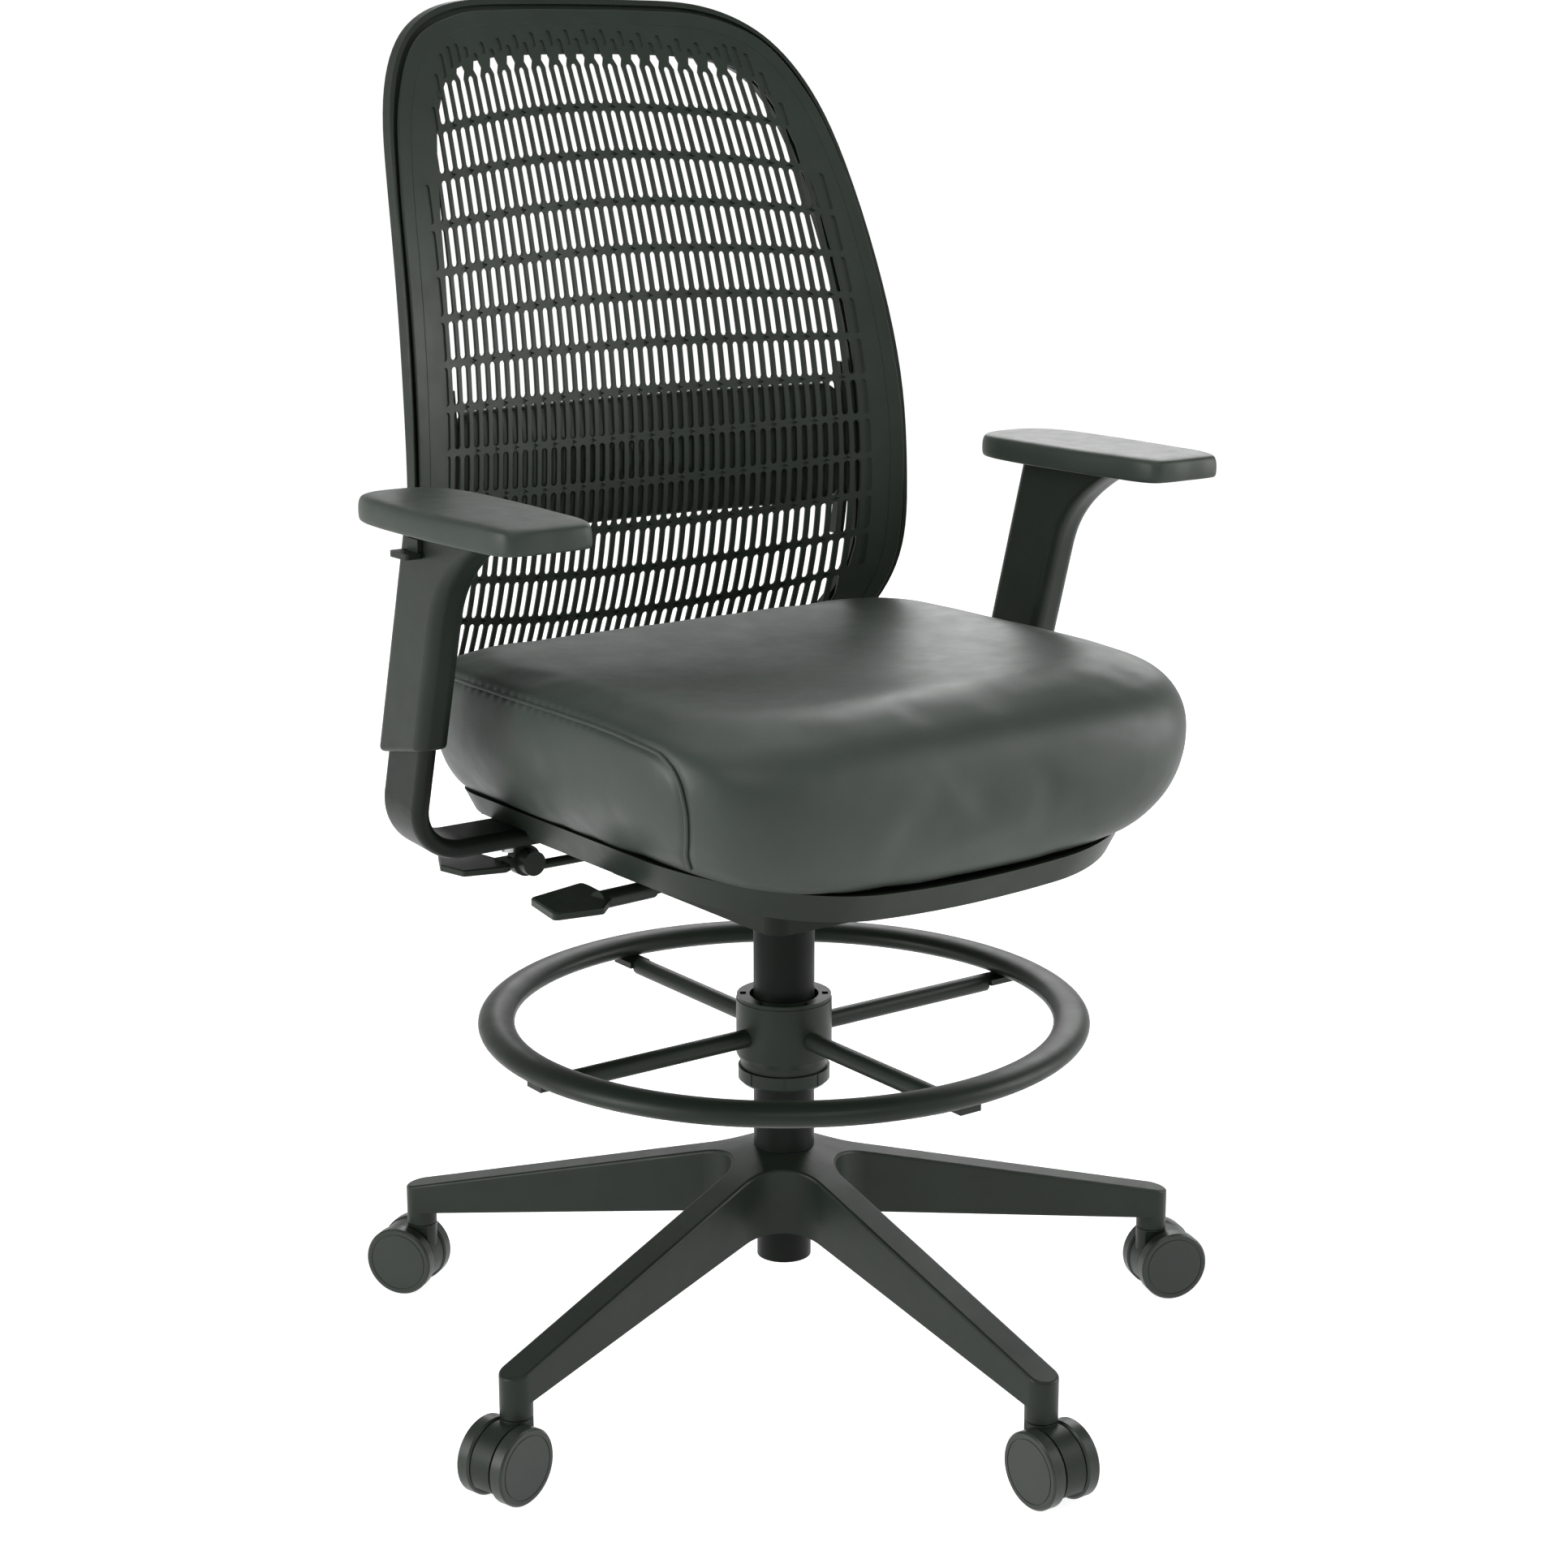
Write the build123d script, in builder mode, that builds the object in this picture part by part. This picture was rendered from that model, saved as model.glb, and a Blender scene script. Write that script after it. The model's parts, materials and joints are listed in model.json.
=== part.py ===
from build123d import *
import math
import os

os.makedirs("parts", exist_ok=True)

# Drafting chair. Millimetres, +Z up, the origin on the floor under the column's axis.
# The sitter faces -Y, so the sitter's right hand is at -X.

# ---- Driving dimensions ------------------------------------------------------

FIT_GAP = 0.05            # running clearance of a pin, a shaft or a guided tube, on the radius
JOIN_GAP = 0.1            # between fixed neighbours
MOVE_GAP = 0.4            # between curved faces that pass each other

# Base
LEG_COUNT = 5
LEG_FIRST_ANGLE = -91.05  # the base stands turned a little under the seat
LEG_CIRCLE = 333.8        # radius of the circle through the caster stems
LEG_WIDTH = 25.5
LEG_TIP_Z = 62.0          # underside of the leg's end boss
LEG_TOP_AT_AXIS = 181.4
LEG_TOP_SLOPE = 0.2485
LEG_UNDER_AT_AXIS = 121.4
LEG_UNDER_SLOPE = 0.144
HUB_FILLET = 36.0
HUB_TOP = 175.6
LEG_EDGE = 2.5

# Casters
WHEEL_RADIUS = 30.0
WHEEL_WIDTH = 12.0
WHEEL_OUTER = 22.3        # from the caster's centre plane to a wheel's outer face
CASTER_TRAIL = 13.7
HOOD_RADIUS = 28.6
HOOD_WIDTH = 18.0
HOOD_MOUTH = 15.0         # the hood is cut off this far under the axle
AXLE_RADIUS = 4.0
STEM_RADIUS = 5.5

# Column and gas lift
COLUMN_RADIUS = 25.0
COLUMN_TAPER_RADIUS = 22.35
COLUMN_BOTTOM = 78.5
COLUMN_TOP = 383.0
GAS_RADIUS = 14.0
GAS_TOP = 432.0
ROD_RADIUS = 5.0

# Foot ring
RING_RADIUS = 234.5
RING_Z = 287.8
RING_HALF_WIDTH = 14.9
RING_HALF_HEIGHT = 9.4
SPOKE_RADIUS = 7.6
COLLAR_RADIUS = 39.2
COLLAR_BOTTOM = 251.2
COLLAR_TOP = 302.5
COLLET_OUTER = 28.3

# Seat
SEAT_ARC = 1000.0         # radius of the dished line where the cushion meets the pan
SEAT_LINE_Z = 457.0       # lowest height of that line, on the centre plane
BOARD_THICKNESS = 12.0
PAN_DEPTH = 22.0
PAN_DRAFT = 0.5           # the pan widens upward by this much per mm
SEAT_REAR = 190.0
SEAT_FRONT = -240.0
PAN_HALF_WIDTH = 216.0
PAN_CORNER = 75.0
PAN_FRONT_CORNER = 118.0
PAN_RIM = 5.0
CUSHION_HALF_WIDTH = 249.0
CUSHION_FRONT = -262.0
CUSHION_REAR = 203.0
CUSHION_MID_Z = 525.0
CUSHION_TOP_Z = 590.0

# Mechanism
HOUSING_HALF_WIDTH = 75.0
HOUSING_FRONT = -90.0
HOUSING_REAR = 150.0
HOUSING_BOTTOM = 388.0
HOUSING_TOP = 432.0
HOUSING_WALL = 4.0
RECLINE_Y = 118.0
RECLINE_Z = 410.0
PIN_RADIUS = 6.0
BOLT_X = 85.0
BOLT_FRONT_Y = -75.0
BOLT_REAR_Y = 60.0
FORK_HALF_WIDTH = 66.0
SPRING_HALF_LENGTH = 50.0

# Levers
LEVER_PIVOT = (-62.0, -17.0, 424.0)
LEVER_TIP = (-205.0, -52.0, 433.0)
LEVER_PIN_RADIUS = 3.0
LUG_PLACE = 10.5
LUG_THICKNESS = 3.0
BACK_LEVER_PIVOT = (-192.0, 84.0, 431.0)
BACK_LEVER_BARREL = 10.0

# Back
BACK_TOP = 1086.0
BACK_BOTTOM = 505.0
SKIN_THICKNESS = 3.0
FRAME_GAP = 0.2
FRAME_FRONT = 3.5         # the frame's rim starts this far behind the skin's front face
WEB_FRONT = 7.0
FRAME_REAR = 15.0
LATTICE_HALF_COLUMNS = 20
SLOT_WIDTH = 5.4

# Arms
ARM_X = 299.8
ARM_LEAN = 15.5           # forward lean of the sleeve and the stalk
ARM_PIVOT_Y = 66.0        # the arm's centre line passes through this point
ARM_PIVOT_Z = 541.0
STALK_WIDTH = 52.0
STALK_THICK = 15.0
STALK_EDGE = 6.5
STALK_FOOT_Z = 454.5      # centre of the flat foot under the seat board
STALK_BEND = 46.0
STALK_END_X = 178.0
STALK_TOP = 150.0         # along the lean, above the pivot point
STALK_SCREW_X = 212.0
SLEEVE_WIDTH = 62.0
SLEEVE_THICK = 28.0
SLEEVE_EDGE = 9.0
SLEEVE_FRONT_FOOT_Z = 545.0
SLEEVE_REAR_FOOT_Z = 533.0
FLARE_START_Z = 640.0
FLARE_REACH = 54.0
PAD_BOTTOM = 716.6
PAD_TOP = 738.5


def keep(builder, label):
    """Name a finished piece and write it to its own file."""
    builder.part.label = label
    export_step(builder.part, f"parts/{label}.step")


def ring(builder_plane, outer, inner, height):
    """Extrude a flat ring from a plane, inside the open part."""
    with BuildSketch(builder_plane) as flat_ring:
        Circle(outer)
        Circle(inner, mode=Mode.SUBTRACT)
    extrude(flat_ring.sketch, amount=height)


# ---- Base --------------------------------------------------------------------

def make_base_star():
    tip_radius = LEG_CIRCLE + LEG_WIDTH / 2
    with BuildPart() as base_star:
        with BuildSketch(Plane.XY.offset(LEG_TIP_Z)) as outline:
            with PolarLocations(0, LEG_COUNT, start_angle=LEG_FIRST_ANGLE):
                Rectangle(LEG_CIRCLE, LEG_WIDTH, align=(Align.MIN, Align.CENTER))
            with PolarLocations(LEG_CIRCLE, LEG_COUNT, start_angle=LEG_FIRST_ANGLE):
                Circle(LEG_WIDTH / 2)
            inner_corners = outline.vertices().sort_by(lambda v: v.X ** 2 + v.Y ** 2)[:LEG_COUNT]
            fillet(inner_corners, radius=HUB_FILLET)
        extrude(amount=HUB_TOP - LEG_TIP_Z)
        with BuildSketch(Plane.XZ) as side:
            top_at_tip = LEG_TOP_AT_AXIS - LEG_TOP_SLOPE * (tip_radius + 5)
            under_at_tip = LEG_UNDER_AT_AXIS - LEG_UNDER_SLOPE * (tip_radius + 5)
            flat_radius = (LEG_TOP_AT_AXIS - HUB_TOP) / LEG_TOP_SLOPE
            Polygon(
                (0, LEG_UNDER_AT_AXIS),
                (tip_radius + 5, under_at_tip),
                (tip_radius + 5, top_at_tip),
                (flat_radius, HUB_TOP),
                (0, HUB_TOP),
                align=None,
            )
        revolve(axis=Axis.Z, mode=Mode.INTERSECT)
        with BuildSketch(Plane.XY.offset(LEG_TIP_Z)):
            with PolarLocations(LEG_CIRCLE, LEG_COUNT, start_angle=LEG_FIRST_ANGLE):
                Circle(LEG_WIDTH / 2)
        extrude(amount=25)
        with BuildSketch(Plane.XY.offset(LEG_TIP_Z)):
            with PolarLocations(LEG_CIRCLE, LEG_COUNT, start_angle=LEG_FIRST_ANGLE):
                Circle(STEM_RADIUS + JOIN_GAP)
        extrude(amount=27, mode=Mode.SUBTRACT)
        with Locations((0, 0, HUB_TOP)):
            Hole(COLUMN_TAPER_RADIUS + JOIN_GAP)
        sloping_tops = base_star.faces().filter_by(GeomType.CONE).filter_by(lambda f: f.center().Z > LEG_TIP_Z + 25)
        leg_tops = sloping_tops.sort_by(lambda f: -f.center().Z)[0]
        fillet(leg_tops.edges().filter_by(lambda e: e.center().Z < HUB_TOP - 1), radius=LEG_EDGE)
    keep(base_star, "base_star")


def make_column():
    with BuildPart() as column_tube:
        with BuildSketch(Plane.XZ):
            Polygon(
                (ROD_RADIUS + JOIN_GAP, COLUMN_BOTTOM),
                (COLUMN_TAPER_RADIUS, COLUMN_BOTTOM),
                (COLUMN_TAPER_RADIUS, HUB_TOP + JOIN_GAP),
                (COLUMN_RADIUS, HUB_TOP + JOIN_GAP),
                (COLUMN_RADIUS, COLUMN_TOP),
                (COLUMN_RADIUS - 2, COLUMN_TOP),
                (COLUMN_RADIUS - 2, 185),
                (COLUMN_TAPER_RADIUS - 2, 185),
                (COLUMN_TAPER_RADIUS - 2, COLUMN_BOTTOM + 4),
                (ROD_RADIUS + JOIN_GAP, COLUMN_BOTTOM + 4),
                align=None,
            )
        revolve(axis=Axis.Z)
    keep(column_tube, "column_tube")

    with BuildPart() as guide_bush:
        bush_length = 70
        bush_plane = Plane.XY.offset(COLUMN_TOP - bush_length)
        ring(bush_plane, COLUMN_RADIUS - 2 - JOIN_GAP, GAS_RADIUS + FIT_GAP, bush_length + JOIN_GAP)
        ring(Plane.XY.offset(COLUMN_TOP + JOIN_GAP), COLUMN_RADIUS, GAS_RADIUS + FIT_GAP, 2)
    keep(guide_bush, "guide_bush")

    with BuildPart() as piston_rod:
        rod_bottom = COLUMN_BOTTOM - 3
        rod_top = 318
        with BuildSketch(Plane.XY.offset(rod_bottom)):
            Circle(ROD_RADIUS)
        extrude(amount=rod_top - rod_bottom)
        with BuildSketch(Plane.XY.offset(rod_top)):
            Circle(GAS_RADIUS - 2 - FIT_GAP)
        extrude(amount=12)
    keep(piston_rod, "piston_rod")

    with BuildPart() as rod_clip:
        ring(Plane.XY.offset(COLUMN_BOTTOM - 1.7), 9, ROD_RADIUS + JOIN_GAP, 1.6)
    keep(rod_clip, "rod_clip")

    with BuildPart() as gas_cylinder:
        gas_bottom = 100
        guide_length = 12
        with BuildSketch(Plane.XZ):
            Polygon(
                (ROD_RADIUS + FIT_GAP, gas_bottom),
                (GAS_RADIUS, gas_bottom),
                (GAS_RADIUS, GAS_TOP),
                (4 + FIT_GAP, GAS_TOP),
                (4 + FIT_GAP, GAS_TOP - 6),
                (GAS_RADIUS - 2, GAS_TOP - 6),
                (GAS_RADIUS - 2, gas_bottom + guide_length),
                (ROD_RADIUS + FIT_GAP, gas_bottom + guide_length),
                align=None,
            )
        revolve(axis=Axis.Z)
    keep(gas_cylinder, "gas_cylinder")

    with BuildPart() as release_pin:
        with BuildSketch(Plane.XY.offset(GAS_TOP - 5)):
            Circle(4)
        extrude(amount=11)
    keep(release_pin, "release_pin")


# ---- Casters -----------------------------------------------------------------

def make_caster_stems():
    with BuildPart() as caster_stems:
        with BuildSketch(Plane.XY.offset(LEG_TIP_Z - 9)):
            with PolarLocations(LEG_CIRCLE, LEG_COUNT, start_angle=LEG_FIRST_ANGLE):
                Circle(STEM_RADIUS)
        extrude(amount=33)
    keep(caster_stems, "caster_stems")


def make_caster(number):
    """One twin-wheel caster, trailing straight out along its leg."""
    angle = LEG_FIRST_ANGLE + (number - 1) * 360 / LEG_COUNT
    leg = Plane.XY.rotated((0, 0, angle))
    stem_place = leg.offset(0).shift_origin(leg.from_local_coords((LEG_CIRCLE, 0, 0)))
    out = stem_place.x_dir
    side = stem_place.z_dir.cross(out)
    axle_point = stem_place.origin + out * CASTER_TRAIL + Vector(0, 0, WHEEL_RADIUS)
    wheel_plane = Plane(origin=axle_point, x_dir=out, z_dir=side)
    boss_top = LEG_TIP_Z - 2 * MOVE_GAP

    with BuildPart() as hood:
        with BuildSketch(wheel_plane.offset(-HOOD_WIDTH / 2)):
            Circle(HOOD_RADIUS)
        extrude(amount=HOOD_WIDTH)
        with BuildSketch(stem_place.offset(WHEEL_RADIUS)):
            Circle(LEG_WIDTH / 2 - JOIN_GAP)
            Rectangle(LEG_WIDTH, HOOD_WIDTH, mode=Mode.INTERSECT)
        extrude(amount=boss_top - WHEEL_RADIUS)
        with BuildSketch(stem_place.offset(2 * WHEEL_RADIUS + MOVE_GAP)):
            Circle(LEG_WIDTH / 2 - JOIN_GAP)
        extrude(amount=boss_top - 2 * WHEEL_RADIUS - MOVE_GAP)
        with BuildSketch(wheel_plane.offset(-HOOD_WIDTH / 2)):
            # the mouth under the hood
            with Locations((0, HOOD_RADIUS)):
                Rectangle(2.4 * HOOD_RADIUS, 2 * (HOOD_RADIUS - HOOD_MOUTH))
        extrude(amount=HOOD_WIDTH, mode=Mode.SUBTRACT)
        with BuildSketch(wheel_plane.offset(-HOOD_WIDTH / 2)):
            Circle(AXLE_RADIUS + 4)
        extrude(amount=HOOD_WIDTH)
        with BuildSketch(wheel_plane.offset(-HOOD_WIDTH / 2)):
            Circle(AXLE_RADIUS + FIT_GAP)
        extrude(amount=HOOD_WIDTH, mode=Mode.SUBTRACT)
        with BuildSketch(stem_place.offset(LEG_TIP_Z - 9.5)):
            Circle(STEM_RADIUS + FIT_GAP)
        extrude(amount=12, mode=Mode.SUBTRACT)
    keep(hood, f"caster_{number}_hood")

    with BuildPart() as axle:
        half = WHEEL_OUTER - 4
        with BuildSketch(wheel_plane.offset(-half)):
            Circle(AXLE_RADIUS)
        extrude(amount=2 * half)
    keep(axle, f"caster_{number}_axle")

    for letter, sign in (("a", 1), ("b", -1)):
        face_plane = Plane(origin=axle_point + side * (sign * WHEEL_OUTER), x_dir=out, z_dir=side * -sign)
        with BuildPart() as wheel:
            with BuildSketch(face_plane):
                Circle(WHEEL_RADIUS)
            extrude(amount=WHEEL_WIDTH)
            outer_rim = wheel.edges().filter_by(GeomType.CIRCLE)
            chamfer(outer_rim, 1.5)
            with BuildSketch(face_plane.offset(WHEEL_WIDTH)):
                Circle(AXLE_RADIUS + JOIN_GAP)
            extrude(amount=-(WHEEL_WIDTH - 3.9), mode=Mode.SUBTRACT)
            with BuildSketch(face_plane):
                Circle(WHEEL_RADIUS * 0.84)
                Circle(WHEEL_RADIUS * 0.84 - 0.8, mode=Mode.SUBTRACT)
            extrude(amount=0.5, mode=Mode.SUBTRACT)
        keep(wheel, f"caster_{number}_wheel_{letter}")


# ---- Foot ring ---------------------------------------------------------------

def make_foot_ring():
    with BuildPart() as foot_ring_hoop:
        with BuildSketch(Plane.XZ):
            with Locations((RING_RADIUS, RING_Z)):
                Ellipse(RING_HALF_WIDTH, RING_HALF_HEIGHT)
        revolve(axis=Axis.Z)
    keep(foot_ring_hoop, "foot_ring_hoop")

    spoke_z = RING_Z - RING_HALF_HEIGHT - SPOKE_RADIUS * 0.55
    spoke_start = COLLAR_RADIUS - 0.6
    spoke_end = RING_RADIUS - RING_HALF_WIDTH - 6
    with BuildPart() as foot_ring_spokes:
        for quarter in range(4):
            spoke_plane = Plane.YZ.rotated((0, 0, 90 * quarter))
            with BuildSketch(spoke_plane.offset(spoke_start)):
                with Locations((0, spoke_z)):
                    Circle(SPOKE_RADIUS)
            extrude(amount=spoke_end - spoke_start)
            with BuildSketch(spoke_plane.offset(spoke_end)):
                with Locations((0, RING_Z - RING_HALF_HEIGHT - 2.6)):
                    Rectangle(20, 5)
            extrude(amount=RING_RADIUS + 5 - spoke_end)
        with BuildSketch(Plane.XY.offset(spoke_z - 20)):
            Circle(COLLAR_RADIUS + JOIN_GAP)
        extrude(amount=40, mode=Mode.SUBTRACT)
    keep(foot_ring_spokes, "foot_ring_spokes")

    with BuildPart() as foot_ring_collar:
        with BuildSketch(Plane.XZ):
            Polygon(
                (COLLET_OUTER + JOIN_GAP, COLLAR_BOTTOM - 6),
                (35.5, COLLAR_BOTTOM - 6),
                (35.5, COLLAR_BOTTOM),
                (COLLAR_RADIUS - 2.5, COLLAR_BOTTOM),
                (COLLAR_RADIUS, COLLAR_BOTTOM + 5),
                (COLLAR_RADIUS, COLLAR_TOP),
                (COLLET_OUTER + JOIN_GAP, COLLAR_TOP),
                align=None,
            )
        revolve(axis=Axis.Z)
    keep(foot_ring_collar, "foot_ring_collar")

    with BuildPart() as foot_ring_collet:
        ring(Plane.XY.offset(COLLAR_BOTTOM), COLLET_OUTER, COLUMN_RADIUS + FIT_GAP, 45)
        with BuildSketch(Plane.XY.offset(COLLAR_BOTTOM)):
            Rectangle(80, 2.5, align=(Align.MIN, Align.CENTER))
        extrude(amount=45, mode=Mode.SUBTRACT)
    keep(foot_ring_collet, "foot_ring_collet")

    with BuildPart() as foot_ring_cap:
        ring(Plane.XY.offset(COLLAR_TOP + JOIN_GAP), COLLAR_RADIUS - 0.6, COLLET_OUTER, 3.2)
        with BuildSketch(Plane.XY.offset(COLLAR_TOP + JOIN_GAP + 1.4)):
            with PolarLocations(33.5, 6, start_angle=24):
                Rectangle(5, 7)
        extrude(amount=3, mode=Mode.SUBTRACT)
    keep(foot_ring_cap, "foot_ring_cap")

    clamp_bottom = 231.5
    clamp_height = COLLAR_BOTTOM - 6 - MOVE_GAP - clamp_bottom
    with BuildPart() as foot_ring_clamp_nut:
        ring(Plane.XY.offset(clamp_bottom), 37.7, COLUMN_RADIUS + 2.5, clamp_height)
        chamfer(foot_ring_clamp_nut.edges().group_by(Axis.Z)[0].sort_by(SortBy.RADIUS)[-1:], 3)
        with BuildSketch(Plane.XY.offset(clamp_bottom)):
            with PolarLocations(38.3, 8, start_angle=10):
                Rectangle(2.4, 2.2)
        extrude(amount=clamp_height, mode=Mode.SUBTRACT)
    keep(foot_ring_clamp_nut, "foot_ring_clamp_nut")


# ---- Seat --------------------------------------------------------------------

def seat_outline(half_width, front, rear, front_corner, rear_corner):
    """Seat in plan, with rounder corners at the front, added to the open sketch."""
    with BuildLine() as rim:
        FilletPolyline(
            (-half_width, front), (half_width, front), (half_width, rear), (-half_width, rear),
            radius=(front_corner, front_corner, rear_corner, rear_corner), close=True,
        )
    make_face(rim.line)


def dished_line(drop):
    """Keep what lies above the dished line lowered by drop, in the open part."""
    with BuildSketch(Plane.XZ.offset(-400)) as disc:
        with Locations((0, SEAT_LINE_Z + SEAT_ARC)):
            Circle(SEAT_ARC + drop)
    extrude(disc.sketch, amount=800, mode=Mode.INTERSECT)


def under_dished_line(drop):
    """Keep what lies under the dished line lowered by drop, in the open part."""
    with BuildSketch(Plane.XZ.offset(-400)) as disc:
        with Locations((0, SEAT_LINE_Z + SEAT_ARC)):
            Circle(SEAT_ARC + drop)
    extrude(disc.sketch, amount=800, mode=Mode.SUBTRACT)


def seat_block(drop):
    """Everything inside the seat's outline that lies above the dished line lowered by drop."""
    with BuildPart(mode=Mode.PRIVATE) as block:
        with BuildSketch(Plane.XY.offset(SEAT_LINE_Z - 30)):
            seat_outline(PAN_HALF_WIDTH, SEAT_FRONT, SEAT_REAR, PAN_FRONT_CORNER, PAN_CORNER)
        extrude(amount=60)
        dished_line(drop)
    return block.part


def pan_form(inset):
    """Tapered block with the pan's sides, drawn in by inset."""
    side_top = SEAT_LINE_Z + PAN_HALF_WIDTH ** 2 / (2 * SEAT_ARC)
    with BuildPart(mode=Mode.PRIVATE) as form:
        sections = []
        for z in (SEAT_LINE_Z - 37, SEAT_LINE_Z + 53):
            at_side = PAN_DRAFT * (z - side_top) - inset
            at_end = PAN_DRAFT * (z - SEAT_LINE_Z) - inset
            with BuildSketch(Plane.XY.offset(z)) as section:
                seat_outline(
                    PAN_HALF_WIDTH + at_side, SEAT_FRONT - at_end, SEAT_REAR + at_end,
                    PAN_FRONT_CORNER + at_end, PAN_CORNER + at_end,
                )
            sections.append(section.sketch)
        loft(sections, ruled=True)
    return form.part


def make_seat():
    low = SEAT_LINE_Z - PAN_DEPTH - 5
    with BuildPart() as seat_pan:
        add(pan_form(0))
        dished_line(PAN_DEPTH)
        under_dished_line(0)
        with BuildPart(mode=Mode.PRIVATE) as pocket:
            add(pan_form(PAN_RIM))
            dished_line(PAN_DEPTH - PAN_RIM)
        add(pocket.part, mode=Mode.SUBTRACT)
        # window for the mechanism and its plate
        with BuildSketch(Plane.XY.offset(low)):
            with Locations((0, 25)):
                RectangleRounded(204, 290, 12)
        extrude(amount=PAN_DEPTH + 4, mode=Mode.SUBTRACT)
        # channels for the arm stalks and for the height lever
        pocket_y = arm_y(STALK_FOOT_Z) + 18
        with BuildSketch(Plane.XY.offset(low)):
            with Locations((-ARM_X + 60, pocket_y), (ARM_X - 60, pocket_y)):
                Rectangle(140, STALK_WIDTH + 48)
        extrude(amount=STALK_FOOT_Z + STALK_THICK / 2 + MOVE_GAP - low, mode=Mode.SUBTRACT)
        with BuildSketch(Plane.XY.offset(low)):
            with Locations((-160, LEVER_TIP[1] + 12)):
                Rectangle(140, 80)
        extrude(amount=20, mode=Mode.SUBTRACT)
    keep(seat_pan, "seat_pan")

    with BuildPart() as seat_board:
        add(pan_form(PAN_RIM + JOIN_GAP))
        dished_line(BOARD_THICKNESS)
        under_dished_line(0)
    keep(seat_board, "seat_board")

    with BuildPart() as seat_cushion:
        with BuildSketch(Plane.XY.offset(SEAT_LINE_Z - 4)):
            seat_outline(PAN_HALF_WIDTH - 2, SEAT_FRONT + 2, SEAT_REAR - 2, PAN_FRONT_CORNER, PAN_CORNER)
        with BuildSketch(Plane.XY.offset(CUSHION_MID_Z)):
            seat_outline(CUSHION_HALF_WIDTH, CUSHION_FRONT, CUSHION_REAR, 112, 92)
        with BuildSketch(Plane.XY.offset(CUSHION_TOP_Z)):
            seat_outline(CUSHION_HALF_WIDTH - 22, CUSHION_FRONT + 60, CUSHION_REAR - 24, 90, 80)
        loft()
        dished_line(-2 * JOIN_GAP)
    keep(seat_cushion, "seat_cushion")


# ---- Mechanism and levers ----------------------------------------------------

def arm_y(height):
    """Where the arm's leaning centre line is at a height."""
    return ARM_PIVOT_Y - (height - ARM_PIVOT_Z) * math.tan(math.radians(ARM_LEAN))


def lever_hinge_plane(offset):
    """Plane across the height lever's hinge, offset along the hinge from the lever's pivot."""
    along = Vector(LEVER_TIP[0] - LEVER_PIVOT[0], LEVER_TIP[1] - LEVER_PIVOT[1], 0).normalized()
    hinge = Vector(0, 0, 1).cross(along) * -1
    return Plane(origin=Vector(*LEVER_PIVOT) + hinge * offset, x_dir=along, z_dir=hinge)


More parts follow.
